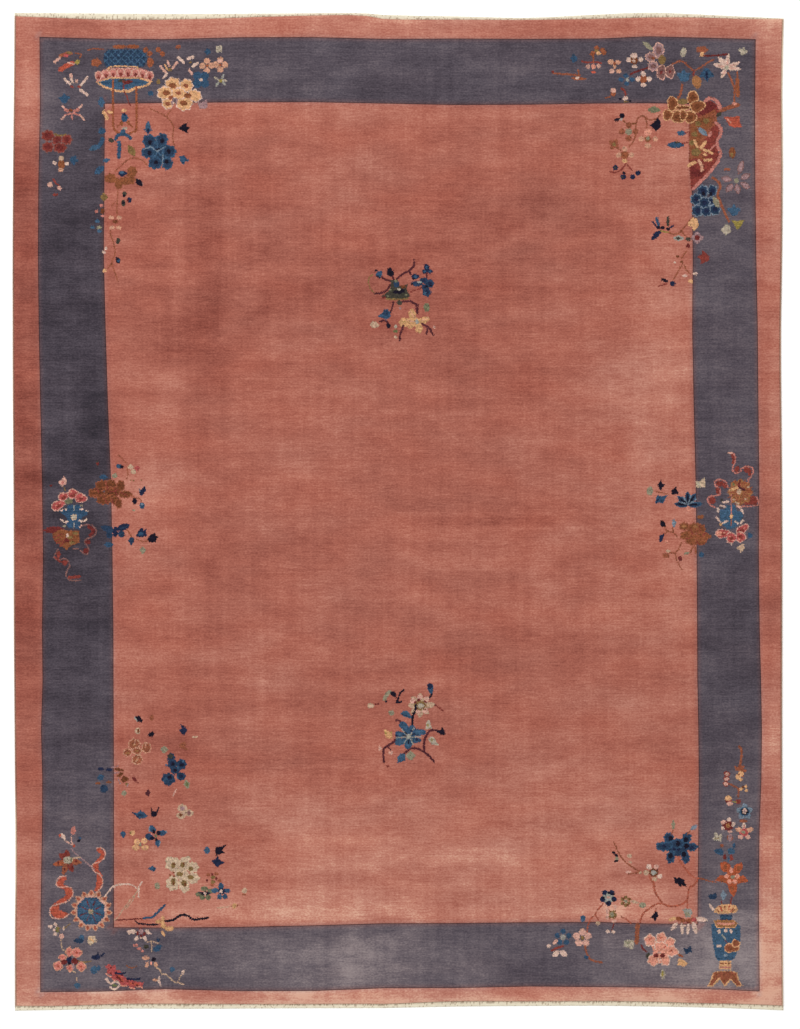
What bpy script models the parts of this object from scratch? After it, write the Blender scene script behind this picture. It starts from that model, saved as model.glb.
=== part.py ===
"""A hand-knotted wool rug lying flat, with woven end webs and overcast sides.

Sizes are in metres unless a name says millimetres. +Z is up, +Y runs along the
rug, and the origin lies under the middle of the rug on the surface it rests on.
The rug's outline is as uneven as a hand-woven one: each edge is a straight line
of the nominal rectangle, drawn in by the amounts in the two tables of stations.
"""

import math
from collections import namedtuple

import bmesh
import bpy

MM = 0.001

# Driving sizes of the whole rug
RUG_WIDTH = 2.750
RUG_LENGTH = 3.560
PILE_HEIGHT = 0.0115
PILE_EDGE_ROUND = 0.004
PILE_EDGE_STEPS = 3
WEB_THICKNESS = 0.0026
WEB_HEM_THICKNESS = 0.0036
SELVEDGE_WIDTH = 0.006
SELVEDGE_HEIGHT = 0.0075
SELVEDGE_SIDES = 10
GAP = 0.0003

# The web's section, from the pile's edge to its own free edge, where it is turned under
WebRow = namedtuple("WebRow", "inward_share height")
WEB_ROWS = (
    WebRow(1.0, WEB_THICKNESS),
    WebRow(0.36, WEB_THICKNESS),
    WebRow(0.18, WEB_HEM_THICKNESS),
    WebRow(0.0, WEB_HEM_THICKNESS / 2),
)

# Linear colours of the yarns, and how matt they are
SALMON = (0.45, 0.155, 0.11)
CREAM = (0.68, 0.58, 0.42)
TAN = (0.33, 0.20, 0.12)
PILE_ROUGHNESS = 0.95
YARN_ROUGHNESS = 0.90
SHARP_ANGLE = math.radians(35)

# How finely the outline and the pile's top are divided
CELLS_ACROSS = 48
CELLS_ALONG = 26

# How far each long side lies inside the nominal width, at places along the rug
SideStation = namedtuple("SideStation", "along left_in_mm right_in_mm")
SIDE_STATIONS = (
    SideStation(-1.780, 8.6, 1.0),
    SideStation(-1.580, 8.2, 2.5),
    SideStation(-1.220, 10.3, 3.9),
    SideStation(-0.865, 7.8, 5.0),
    SideStation(-0.420, 4.6, 4.6),
    SideStation(0.025, 3.6, 5.0),
    SideStation(0.470, 0.6, 8.6),
    SideStation(0.660, 0.3, 9.4),
    SideStation(0.915, 0.0, 5.3),
    SideStation(1.270, 2.1, 2.9),
    SideStation(1.540, 5.0, 4.6),
    SideStation(1.780, 6.8, 0.0),
)

# How far each end lies inside the nominal length, and how wide its web is there
EndStation = namedtuple("EndStation", "across far_in_mm far_web_mm near_in_mm near_web_mm")
END_STATIONS = (
    EndStation(-1.375, 0.4, 13.5, 0.0, 18.9),
    EndStation(-1.205, 1.8, 19.2, 2.8, 16.0),
    EndStation(-0.990, 3.2, 24.6, 7.1, 18.5),
    EndStation(-0.705, 3.9, 20.3, 6.8, 19.2),
    EndStation(-0.420, 2.8, 12.1, 8.5, 16.7),
    EndStation(-0.130, 1.4, 10.0, 9.3, 17.1),
    EndStation(-0.055, 7.8, 16.7, 9.6, 16.0),
    EndStation(0.205, 13.2, 13.2, 14.6, 20.7),
    EndStation(0.463, 18.2, 8.9, 16.7, 18.5),
    EndStation(0.720, 6.4, 17.1, 17.5, 18.9),
    EndStation(0.890, 0.0, 19.2, 15.3, 19.2),
    EndStation(1.060, 5.7, 13.5, 12.1, 16.7),
    EndStation(1.232, 14.2, 10.0, 7.1, 18.5),
    EndStation(1.375, 21.0, 3.9, 1.1, 18.5),
)

# Soft hollows where feet have worn the pile down
WornPatch = namedtuple("WornPatch", "across along reach_across reach_along depth_mm")
WORN_PATCHES = (
    WornPatch(0.55, 1.02, 0.30, 0.34, 1.1),
    WornPatch(-0.68, 0.55, 0.14, 0.75, 1.0),
    WornPatch(0.00, 0.62, 0.55, 0.30, 0.7),
    WornPatch(0.28, -0.25, 0.30, 0.75, 0.8),
    WornPatch(-0.72, -0.85, 0.22, 0.55, 0.7),
    WornPatch(1.02, -1.15, 0.25, 0.22, 0.6),
)


def tangent(places, values, i):
    """The slope of a smooth curve through its own neighbours at station i."""
    before = max(i - 1, 0)
    after = min(i + 1, len(places) - 1)
    return (values[after] - values[before]) / (places[after] - places[before])


def smooth_value(stations, column, at):
    """The value of one column between its stations, on a cubic through them."""
    places = [station[0] for station in stations]
    values = [getattr(station, column) for station in stations]
    at = min(max(at, places[0]), places[-1])
    i = max(k for k in range(len(places) - 1) if places[k] <= at)
    span = places[i + 1] - places[i]
    t = (at - places[i]) / span
    start_pull = t * (1 - t) ** 2 * span * tangent(places, values, i)
    end_pull = -(t ** 2) * (1 - t) * span * tangent(places, values, i + 1)
    blend = t * t * (3 - 2 * t)
    return values[i] * (1 - blend) + values[i + 1] * blend + start_pull + end_pull


def left_edge(along):
    """X of the rug's left side at a place along the rug."""
    return -RUG_WIDTH / 2 + smooth_value(SIDE_STATIONS, "left_in_mm", along) * MM


def right_edge(along):
    """X of the rug's right side at a place along the rug."""
    return RUG_WIDTH / 2 - smooth_value(SIDE_STATIONS, "right_in_mm", along) * MM


def end_edge(end, across, web_share):
    """Y of an end at a place across: 0 is the web's free edge, 1 the pile's."""
    side = 1 if end == "far" else -1
    drawn_in = smooth_value(END_STATIONS, f"{end}_in_mm", across)
    web = smooth_value(END_STATIONS, f"{end}_web_mm", across)
    return side * (RUG_LENGTH / 2 - (drawn_in + web_share * web) * MM)


def pile_side(side, along):
    """X of the pile's side, inside the overcast cord."""
    inset = SELVEDGE_WIDTH + GAP
    return left_edge(along) + inset if side == "left" else right_edge(along) - inset


def pile_point(u, v):
    """The plan point of the pile at u across and v along, both from 0 to 1."""
    along = (v - 0.5) * RUG_LENGTH
    across = pile_side("left", along) * (1 - u) + pile_side("right", along) * u
    near = end_edge("near", across, 1)
    far = end_edge("far", across, 1)
    return across, near * (1 - v) + far * v


def pile_height(across, along):
    """The pile's height over the floor, lower where it is worn."""
    worn = 0.0
    for patch in WORN_PATCHES:
        away = math.hypot(
            (across - patch.across) / patch.reach_across,
            (along - patch.along) / patch.reach_along,
        )
        worn += patch.depth_mm * MM * math.exp(-away * away)
    return PILE_HEIGHT - worn


def fabric(name, colour, roughness):
    """A plain fabric material of one colour."""
    material = bpy.data.materials.new(name)
    material.use_nodes = True
    shader = material.node_tree.nodes["Principled BSDF"]
    shader.inputs["Base Color"].default_value = (*colour, 1.0)
    shader.inputs["Roughness"].default_value = roughness
    shader.inputs["Metallic"].default_value = 0.0
    return material


def finish(name, bm, material):
    """Turns a bmesh into a named object with its faces pointing out."""
    bmesh.ops.recalc_face_normals(bm, faces=bm.faces)
    mesh = bpy.data.meshes.new(name)
    bm.to_mesh(mesh)
    bm.free()
    mesh.materials.append(material)
    mesh.shade_smooth()
    mesh.set_sharp_from_angle(angle=SHARP_ANGLE)
    made = bpy.data.objects.new(name, mesh)
    bpy.context.scene.collection.objects.link(made)
    return made


def close_down(bm):
    """Drops walls from a top surface's border to the floor, closes them and returns the border."""
    border = [edge for edge in bm.edges if edge.is_boundary]
    dropped = bmesh.ops.extrude_edge_only(bm, edges=border)["geom"]
    for vertex in dropped:
        if isinstance(vertex, bmesh.types.BMVert):
            vertex.co.z = 0.0
    foot = [part for part in dropped if isinstance(part, bmesh.types.BMEdge) and part.is_boundary]
    bmesh.ops.contextual_create(bm, geom=foot)
    return border


def make_pile(material):
    """The pile slab: a gently uneven top, rounded top edges and a flat underside."""
    bm = bmesh.new()
    bmesh.ops.create_grid(bm, x_segments=CELLS_ACROSS, y_segments=CELLS_ALONG, size=0.5)
    for vertex in bm.verts:
        across, along = pile_point(vertex.co.x + 0.5, vertex.co.y + 0.5)
        vertex.co = (across, along, pile_height(across, along))
    rim = close_down(bm)
    bmesh.ops.bevel(
        bm,
        geom=rim,
        affect="EDGES",
        offset=PILE_EDGE_ROUND,
        segments=PILE_EDGE_STEPS,
        profile=0.5,
        material=-1,
    )
    return finish("rug_pile", bm, material)


def make_end_web(end, material):
    """A flat-woven web beyond the pile, as wide as the rug, thicker at its turned hem."""
    outward = 1 if end == "far" else -1
    v = 1.0 if end == "far" else 0.0
    corner_along = end_edge(end, 0.0, 0)
    last_row = len(WEB_ROWS) - 1
    bm = bmesh.new()
    bmesh.ops.create_grid(bm, x_segments=CELLS_ACROSS, y_segments=last_row, size=0.5)
    for vertex in bm.verts:
        column = round((vertex.co.x + 0.5) * CELLS_ACROSS)
        row = WEB_ROWS[round((vertex.co.y + 0.5) * last_row)]
        across, pile_y = pile_point(column / CELLS_ACROSS, v)
        if column == 0:
            across = left_edge(corner_along)
        if column == CELLS_ACROSS:
            across = right_edge(corner_along)
        inner = pile_y + outward * GAP
        free = end_edge(end, across, 0)
        along = inner * row.inward_share + free * (1 - row.inward_share)
        vertex.co = (across, along, row.height)
    close_down(bm)
    return finish(f"end_web_{end}", bm, material)


def selvedge_profile():
    """The cord's section: a flattened round resting on one flat side, as (x, z) pairs."""
    half_side = math.pi / SELVEDGE_SIDES
    points = []
    for k in range(SELVEDGE_SIDES):
        angle = (2 * k + 1) * half_side
        x = SELVEDGE_WIDTH / 2 * math.sin(angle)
        z = SELVEDGE_HEIGHT / 2 * (1 - math.cos(angle) / math.cos(half_side))
        points.append((x, z))
    return points


def make_selvedge(side, material):
    """The overcast cord beside the pile, drawn along the pile's uneven side."""
    bm = bmesh.new()
    outward = -1 if side == "left" else 1
    u = 0.0 if side == "left" else 1.0
    offset = outward * (GAP + SELVEDGE_WIDTH / 2)
    ring = [bm.verts.new((x, 0.0, z)) for x, z in selvedge_profile()]
    edges = [bm.edges.new((ring[k], ring[k - 1])) for k in range(len(ring))]
    sections = [ring]
    for _ in range(CELLS_ALONG):
        grown = bmesh.ops.extrude_edge_only(bm, edges=edges)["geom"]
        edges = [part for part in grown if isinstance(part, bmesh.types.BMEdge)]
        edges = [edge for edge in edges if edge.is_boundary]
        sections.append([part for part in grown if isinstance(part, bmesh.types.BMVert)])
    for step, section in enumerate(sections):
        x, y = pile_point(u, step / CELLS_ALONG)
        for vertex in section:
            vertex.co.x += x + offset
            vertex.co.y = y
    ends = [edge for edge in bm.edges if edge.is_boundary]
    bmesh.ops.holes_fill(bm, edges=ends, sides=SELVEDGE_SIDES)
    return finish(f"selvedge_{side}", bm, material)


def main():
    """Clears the scene and makes the rug's five pieces."""
    for thing in list(bpy.data.objects):
        bpy.data.objects.remove(thing, do_unlink=True)
    make_pile(fabric("salmon_wool", SALMON, PILE_ROUGHNESS))
    cotton = fabric("cream_cotton", CREAM, YARN_ROUGHNESS)
    yarn = fabric("tan_yarn", TAN, YARN_ROUGHNESS)
    for end in ("far", "near"):
        make_end_web(end, cotton)
    for side in ("left", "right"):
        make_selvedge(side, yarn)


main()
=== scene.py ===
"""The looks of a hand-knotted Chinese wool rug lying flat: pile, ornaments, webs and edge cords.

Sizes are in metres. The ornaments are laid out on a weaver's chart: its columns run from the
rug's left side, its rows from the far end, and one chart square is CHART_SQUARE metres wide.
"""

import logging
import math
from collections.abc import Callable
from dataclasses import dataclass
from enum import Enum

import bmesh
import bpy
import numpy as np
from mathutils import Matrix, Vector


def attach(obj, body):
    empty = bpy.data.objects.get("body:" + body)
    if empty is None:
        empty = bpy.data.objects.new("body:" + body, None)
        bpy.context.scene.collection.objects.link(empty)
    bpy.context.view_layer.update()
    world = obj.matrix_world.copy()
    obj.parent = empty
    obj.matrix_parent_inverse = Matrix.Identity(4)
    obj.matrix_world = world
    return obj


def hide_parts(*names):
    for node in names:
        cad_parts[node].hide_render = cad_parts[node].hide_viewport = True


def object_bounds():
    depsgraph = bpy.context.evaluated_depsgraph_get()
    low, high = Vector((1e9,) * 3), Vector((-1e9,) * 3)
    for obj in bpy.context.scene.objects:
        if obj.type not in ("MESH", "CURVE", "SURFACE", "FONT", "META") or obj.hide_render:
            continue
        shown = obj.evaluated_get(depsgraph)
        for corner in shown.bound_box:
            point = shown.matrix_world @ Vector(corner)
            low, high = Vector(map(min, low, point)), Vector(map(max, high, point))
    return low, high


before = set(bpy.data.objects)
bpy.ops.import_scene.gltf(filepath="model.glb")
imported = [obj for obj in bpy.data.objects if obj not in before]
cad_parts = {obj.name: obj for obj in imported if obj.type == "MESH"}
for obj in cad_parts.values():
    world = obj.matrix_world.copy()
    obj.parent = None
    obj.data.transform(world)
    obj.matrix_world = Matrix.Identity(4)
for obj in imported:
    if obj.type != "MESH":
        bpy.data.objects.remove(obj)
CAD_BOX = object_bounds()
ROOT = "root"
LOG = logging.getLogger("rug")

# The weaver's chart: its square, and the place on it that lies over the rug's middle
CHART_SQUARE = 0.0035624
MIDDLE_COLUMN = 398.1
MIDDLE_ROW = 511.65

# The pile's height, and how high the foot of every piece reaches
PILE_HEIGHT = 0.0115
FOOT = 0.0004

# The border's uneven lines, each from left to right or from near to far
UPRIGHT_LINES = ("left_guard", "left_band", "right_band", "right_guard")
LEVEL_LINES = ("near_guard", "near_band", "far_band", "far_guard")

# How near a frame node's corners lie to a column or a row that they belong to
NEARBY = 0.002

# The layer that holds each piece's place on its own picture
PICTURE_LAYER = "OFBake"


def chart_x(column: float) -> float:
    """X in metres of a chart column."""
    return (column - MIDDLE_COLUMN) * CHART_SQUARE


def chart_y(row: float) -> float:
    """Y in metres of a chart row."""
    return (MIDDLE_ROW - row) * CHART_SQUARE


def linear(red: float, green: float, blue: float) -> tuple[float, float, float]:
    """A colour as the eye reads it, from 0 to 255 a channel, in linear light."""
    shares = [channel / 255 for channel in (red, green, blue)]
    return tuple(s / 12.92 if s <= 0.04045 else ((s + 0.055) / 1.055) ** 2.4 for s in shares)


# Shader arithmetic


class Link:
    """A shader socket that takes part in Python arithmetic."""

    def __init__(self, tree: "Tree", socket: bpy.types.NodeSocket) -> None:
        """Keeps the node tree and the socket.

        Args:
            tree: The tree that the socket's node is in.
            socket: The output socket.
        """
        self.tree = tree
        self.socket = socket

    def __add__(self, other: "Link | float") -> "Link":
        """Sum."""
        return self.tree.maths("ADD", self, other)

    def __sub__(self, other: "Link | float") -> "Link":
        """Difference."""
        return self.tree.maths("SUBTRACT", self, other)

    def __mul__(self, other: "Link | float") -> "Link":
        """Product."""
        return self.tree.maths("MULTIPLY", self, other)

    __radd__ = __add__
    __rmul__ = __mul__

    def clamped(self) -> "Link":
        """The value held between 0 and 1."""
        return self.tree.maths("MINIMUM", self.tree.maths("MAXIMUM", self, 0.0), 1.0)


class Tree:
    """A material's node tree, with one way to add a node."""

    NOISE_ROUGHNESS = 0.55
    NOISE_MIDDLE = 0.5
    NOISE_SPREAD = 3.2

    def __init__(self, name: str) -> None:
        """Makes an empty material.

        Args:
            name: The material's name.
        """
        self.material = bpy.data.materials.new(name)
        self.material.use_nodes = True
        self.nodes = self.material.node_tree.nodes
        self.links = self.material.node_tree.links
        self.nodes.clear()

    def node(
        self, kind: str, settings: dict | None = None, inputs: dict | None = None
    ) -> bpy.types.Node:
        """Adds a node.

        Args:
            kind: The node's type, such as ShaderNodeTexNoise.
            settings: Properties, set first. A ramp's stops are a list of (place, colour).
            inputs: Values or links by socket name or number.

        Returns:
            The node.
        """
        made = self.nodes.new(kind)
        for key, value in (settings or {}).items():
            if key == "stops":
                self.set_stops(made.color_ramp, value)
            else:
                setattr(made, key, value)
        for key, value in (inputs or {}).items():
            if isinstance(value, Link):
                self.links.new(value.socket, made.inputs[key])
            else:
                made.inputs[key].default_value = value
        return made

    @staticmethod
    def set_stops(ramp: bpy.types.ColorRamp, stops: list) -> None:
        """Gives a ramp its stops.

        Args:
            ramp: The ramp.
            stops: (place, colour) from 0 to 1, the colours in linear light.
        """
        while len(ramp.elements) < len(stops):
            ramp.elements.new(1.0)
        for element, (place, colour) in zip(ramp.elements, stops):
            element.position = place
            element.color = (*colour, 1.0)

    def maths(self, operation: str, *values: "Link | float") -> Link:
        """A Math node's answer."""
        made = self.node("ShaderNodeMath", {"operation": operation}, dict(enumerate(values)))
        return Link(self, made.outputs[0])

    def object_place(self) -> Link:
        """The piece's own coordinates, in metres."""
        return Link(self, self.node("ShaderNodeTexCoord").outputs["Object"])

    def stretched(self, place: Link, scale: tuple[float, float, float]) -> Link:
        """Coordinates scaled along each axis."""
        made = self.node("ShaderNodeVectorMath", {"operation": "MULTIPLY"}, {0: place, 1: scale})
        return Link(self, made.outputs[0])

    def noise(self, place: Link, scale: tuple[float, float, float], detail: float = 1.0) -> Link:
        """Smooth noise about zero, roughly from -1 to 1.

        Args:
            place: Coordinates in metres.
            scale: Features per metre along each axis.
            detail: How many finer layers it has.

        Returns:
            The noise.
        """
        moved = self.stretched(place, scale)
        roughness = self.NOISE_ROUGHNESS
        inputs = {"Vector": moved, "Scale": 1.0, "Detail": detail, "Roughness": roughness}
        made = self.node("ShaderNodeTexNoise", {"noise_dimensions": "3D"}, inputs)
        return (Link(self, made.outputs[0]) - self.NOISE_MIDDLE) * self.NOISE_SPREAD

    def attribute(self, name: str, output: str = "Fac") -> Link:
        """A mesh attribute, as a number or a colour."""
        return Link(self, self.node("ShaderNodeAttribute", {"attribute_name": name}).outputs[output])

    def ramp(self, value: Link, stops: list) -> Link:
        """A colour from a number."""
        return Link(self, self.node("ShaderNodeValToRGB", {"stops": stops}, {0: value}).outputs[0])

    def mixed(
        self,
        share: "Link | float",
        first: "Link | tuple",
        second: "Link | tuple",
        blend: str = "MIX",
    ) -> Link:
        """Two colours mixed.

        Args:
            share: How much of the second, 0 to 1.
            first: A colour or a link.
            second: A colour or a link.
            blend: The Mix node's blend type.

        Returns:
            The mixed colour.
        """
        settings = {"data_type": "RGBA", "blend_type": blend, "clamp_factor": True}
        made = self.node("ShaderNodeMix", settings)
        for key, value in ((0, share), (6, first), (7, second)):
            if isinstance(value, Link):
                self.links.new(value.socket, made.inputs[key])
            else:
                made.inputs[key].default_value = value if key == 0 else (*value, 1.0)
        return Link(self, made.outputs[2])

    def brightened(self, colour: Link, amount: Link) -> Link:
        """A colour made brighter or darker: amount is 1 where it stays."""
        made = self.node("ShaderNodeVectorMath", {"operation": "SCALE"}, {0: colour, "Scale": amount})
        return Link(self, made.outputs[0])

    def finish(
        self, colour: Link, height: Link, bump: "Bump", surface: "Surface"
    ) -> bpy.types.Material:
        """Joins colour and relief to one principled shader.

        Args:
            colour: The base colour.
            height: The relief, in metres.
            bump: How the relief is read.
            surface: The constant qualities of the yarn.

        Returns:
            The material.
        """
        relief = self.node(
            "ShaderNodeBump",
            inputs={"Strength": bump.strength, "Distance": bump.distance, "Height": height},
        )
        shader = self.node(
            "ShaderNodeBsdfPrincipled",
            inputs={
                "Base Color": colour,
                "Roughness": surface.roughness,
                "Specular IOR Level": surface.specular,
                "Sheen Weight": surface.sheen,
                "Sheen Roughness": surface.sheen_roughness,
                "Emission Color": (1.0, 1.0, 1.0, 1.0),
                "Emission Strength": surface.glow,
                "Normal": Link(self, relief.outputs[0]),
            },
        )
        out = self.node("ShaderNodeOutputMaterial")
        self.links.new(shader.outputs[0], out.inputs[0])
        return self.material


@dataclass(frozen=True)
class Bump:
    """How strongly a relief is read."""

    strength: float = 0.6
    distance: float = 1.0


@dataclass(frozen=True)
class Surface:
    """The qualities of a yarn that are the same all over."""

    roughness: float = 0.93
    specular: float = 0.18
    sheen: float = 0.12
    sheen_roughness: float = 0.5
    glow: float = 0.0


# Finishes


@dataclass(frozen=True)
class Streaks:
    """How strong each kind of unevenness in hand-dyed, hand-knotted wool is, as shares of tone."""

    rows: float = 0.09
    picks: float = 0.045
    knots: float = 0.20
    dashes: float = 0.08
    abrash: float = 0.10
    warps: float = 0.05
    mottle: float = 0.13
    wear: float = 0.10

    def tone(self, tree: Tree, place: Link) -> Link:
        """All the unevenness added up, about zero, each kind at its own scale and detail.

        Args:
            tree: The tree to build in.
            place: Coordinates in metres.

        Returns:
            The tone.
        """
        layers = (
            (self.rows, (20.0, 210.0, 1.0), 1.0),
            (self.picks, (1.5, 130.0, 1.0), 1.0),
            (self.knots, (130.0, 200.0, 1.0), 2.0),
            (self.dashes, (30.0, 90.0, 1.0), 2.0),
            (self.abrash, (0.8, 11.0, 1.0), 2.0),
            (self.warps, (42.0, 1.8, 1.0), 1.0),
            (self.mottle, (7.0, 13.0, 1.0), 3.0),
            (self.wear, (2.5, 3.5, 1.0), 3.0),
        )
        parts = [tree.noise(place, scale, detail) * share for share, scale, detail in layers]
        return sum(parts[1:], parts[0])


@dataclass(frozen=True)
class PileWool:
    """Clipped wool pile of one dye lot, from its deepest to its palest shade.

    Its tone comes from the vertex attribute TONE and its streaks, and each shade lies STEP of
    tone above the last. Where the attribute EDGE is high, beside the carved lines, its red,
    green and blue are multiplied by those of edge. The carved lines' own pile is painted shade:
    darker shades laid in the grooves.
    """

    name: str
    shades: tuple[tuple[int, int, int], ...]
    warm: tuple[int, int, int]
    edge: tuple[float, float, float]
    streaks: Streaks = Streaks()
    surface: Surface = Surface()

    MIDDLE = 0.5
    STEP = 0.25
    WEAR_SHARE = 0.6
    WARMTH = 0.28
    TUFT_HEIGHT = 0.00035
    RIDGE_HEIGHT = 0.00018
    TONE = "tone"
    EDGE = "edge"

    def build(self) -> bpy.types.Material:
        """Makes the material."""
        tree = Tree(self.name)
        place = tree.object_place()
        patchy = tree.noise(place, (8.0, 14.0, 1.0), 3.0) * self.WEAR_SHARE + 1.0
        tone = tree.attribute(self.TONE) * patchy + self.MIDDLE + self.streaks.tone(tree, place)
        last = len(self.shades) - 1
        stops = [(i / last, linear(*shade)) for i, shade in enumerate(self.shades)]
        colour = tree.ramp((tone * (1 / (self.STEP * last))).clamped(), stops)
        hue = (tree.noise(place, (3.0, 7.0, 1.0), 2.0) * 0.5 + 0.35).clamped()
        colour = tree.mixed(hue * self.WARMTH, colour, linear(*self.warm), "SOFT_LIGHT")
        edge = tree.attribute(self.EDGE) * tree.attribute(self.EDGE)
        colour = tree.mixed(edge.clamped(), colour, self.edge, "MULTIPLY")
        tufts = tree.noise(place, (280.0, 330.0, 280.0), 2.0)
        ridges = tree.noise(place, (20.0, 300.0, 60.0), 1.0)
        height = tufts * self.TUFT_HEIGHT + ridges * self.RIDGE_HEIGHT
        return tree.finish(colour, height, Bump(), self.surface)


@dataclass(frozen=True)
class KnotWool:
    """The ornaments' wool: each knot has its own dye, kept in a colour attribute."""

    name: str = "ornament_wool"
    surface: Surface = Surface(specular=0.08, sheen=0.04)

    FIBRE_SHARE = 0.12
    TUFT_HEIGHT = 0.0003
    DYE = "dye"

    def build(self) -> bpy.types.Material:
        """Makes the material."""
        tree = Tree(self.name)
        place = tree.object_place()
        fine = tree.noise(place, (260.0, 380.0, 260.0), 2.0)
        coarse = tree.noise(place, (60.0, 90.0, 1.0), 2.0)
        fibres = (fine + coarse) * self.FIBRE_SHARE
        colour = tree.brightened(tree.attribute(self.DYE, "Color"), fibres + 1.0)
        height = tree.noise(place, (280.0, 330.0, 280.0), 2.0) * self.TUFT_HEIGHT
        return tree.finish(colour, height, Bump(), self.surface)


@dataclass(frozen=True)
class WebCotton:
    """Undyed cotton, woven flat: ribs of warp with wefts packed across them."""

    name: str = "end_web_cotton"
    light: tuple[int, int, int] = (240, 232, 208)
    dark: tuple[int, int, int] = (140, 110, 84)
    surface: Surface = Surface(roughness=0.88, specular=0.2, sheen=0.05)

    SPECK_SHARE = 0.16
    CLOUD_SHARE = 0.10
    WEFT_HEIGHT = 0.00025
    SOIL = "soil"

    def build(self) -> bpy.types.Material:
        """Makes the material."""
        tree = Tree(self.name)
        place = tree.object_place()
        specks = tree.noise(place, (60.0, 200.0, 60.0), 2.0) * self.SPECK_SHARE
        clouds = tree.noise(place, (9.0, 9.0, 9.0), 2.0) * self.CLOUD_SHARE
        soil = tree.attribute(self.SOIL) + specks + clouds
        colour = tree.mixed(soil.clamped(), linear(*self.light), linear(*self.dark))
        height = tree.noise(place, (120.0, 900.0, 120.0), 1.0) * self.WEFT_HEIGHT
        return tree.finish(colour, height, Bump(), self.surface)


@dataclass(frozen=True)
class OvercastYarn:
    """Wool yarn wound over the edge warps, browner and paler by turns, bleached in long stretches."""

    name: str = "overcast_yarn"
    light: tuple[int, int, int] = (192, 148, 124)
    dark: tuple[int, int, int] = (122, 84, 68)
    bleached: tuple[int, int, int] = (232, 212, 184)
    surface: Surface = Surface()

    MIDDLE = 0.45
    TURN_SHARE = 0.3
    STRETCH_SHARE = 0.35
    BLEACH_SHARE = 0.12
    PLY_HEIGHT = 0.0003
    BLEACH = "bleach"

    def build(self) -> bpy.types.Material:
        """Makes the material."""
        tree = Tree(self.name)
        place = tree.object_place()
        turns = tree.noise(place, (20.0, 200.0, 60.0), 2.0) * self.TURN_SHARE
        stretches = tree.noise(place, (1.0, 3.0, 1.0), 2.0) * self.STRETCH_SHARE
        shade = turns + stretches + self.MIDDLE
        colour = tree.mixed(shade.clamped(), linear(*self.light), linear(*self.dark))
        spots = tree.noise(place, (40.0, 60.0, 40.0), 2.0) * self.BLEACH_SHARE
        bleach = tree.attribute(self.BLEACH) + spots
        colour = tree.mixed(bleach.clamped(), colour, linear(*self.bleached))
        height = tree.noise(place, (300.0, 700.0, 300.0), 1.0) * self.PLY_HEIGHT
        return tree.finish(colour, height, Bump(), self.surface)


PINK_WOOL = PileWool(
    "salmon_pile",
    shades=((112, 56, 47), (142, 79, 67), (168, 102, 87), (192, 131, 114), (220, 172, 150)),
    warm=(206, 118, 66),
    edge=(0.90, 1.07, 1.22),
)
SLATE_WOOL = PileWool(
    "slate_pile",
    shades=(
        (38, 34, 42), (60, 53, 62), (84, 76, 85), (110, 100, 106), (142, 130, 132), (160, 148, 148),
    ),
    warm=(128, 96, 96),
    edge=(1.40, 0.98, 0.87),
)
# Painted shade: the carved lines' pile is darker than pink or slate and stands in for the grooves' shade.
CARVED_LINE_SHADE = PileWool(
    "carved_line_painted_shade",
    shades=((36, 26, 30), (58, 38, 42), (76, 52, 54), (94, 66, 64), (114, 82, 76)),
    warm=(90, 50, 50),
    edge=(1.0, 1.0, 1.0),
)


# The rug's outline and its inner lines


@dataclass(frozen=True)
class EdgeLine:
    """One uneven edge as a line through points, in order along it."""

    along: np.ndarray
    off: np.ndarray

    def at(self, along: np.ndarray | float) -> np.ndarray | float:
        """The line's place across at a place along it."""
        return np.interp(along, self.along, self.off)


def node_points(node: str) -> np.ndarray:
    """The places of a frame node's corners."""
    return np.array([v.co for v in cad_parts[node].data.vertices])


def foot_points(node: str) -> np.ndarray:
    """The places, across and along, of a frame node's corners on the floor."""
    points = node_points(node)
    return np.unique(np.round(points[points[:, 2] < FOOT, :2], 5), axis=0)


class Outline:
    """The pile's four edges, read from the frame's own slab."""

    CORNER_REACH = 0.05

    def __init__(self, node: str) -> None:
        """Sorts the foot of a flat slab into its four edges.

        Args:
            node: The slab's name in the frame.
        """
        foot = foot_points(node)
        low, high = foot.min(0), foot.max(0)
        self.left = self.edge(foot, foot[:, 0] < low[0] + self.CORNER_REACH, 1)
        self.right = self.edge(foot, foot[:, 0] > high[0] - self.CORNER_REACH, 1)
        self.near = self.edge(foot, foot[:, 1] < low[1] + self.CORNER_REACH, 0)
        self.far = self.edge(foot, foot[:, 1] > high[1] - self.CORNER_REACH, 0)

    @staticmethod
    def edge(foot: np.ndarray, chosen: np.ndarray, axis: int) -> EdgeLine:
        """The chosen points of the foot, in order along one axis.

        Args:
            foot: All the points, x and y.
            chosen: Which of them lie on the edge.
            axis: 1 for a side, which runs along Y, and 0 for an end.

        Returns:
            The edge.
        """
        points = foot[chosen]
        points = points[np.argsort(points[:, axis])]
        return EdgeLine(points[:, axis], points[:, 1 - axis])


@dataclass(frozen=True)
class SidePlace:
    """Where the upright lines of the border stand at one row of the chart."""

    row: float
    left_guard: float
    left_band: float
    right_band: float
    right_guard: float


@dataclass(frozen=True)
class EndPlace:
    """Where the level lines of the border lie at one column of the chart."""

    column: float
    far_guard: float
    far_band: float
    near_band: float
    near_guard: float


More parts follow.
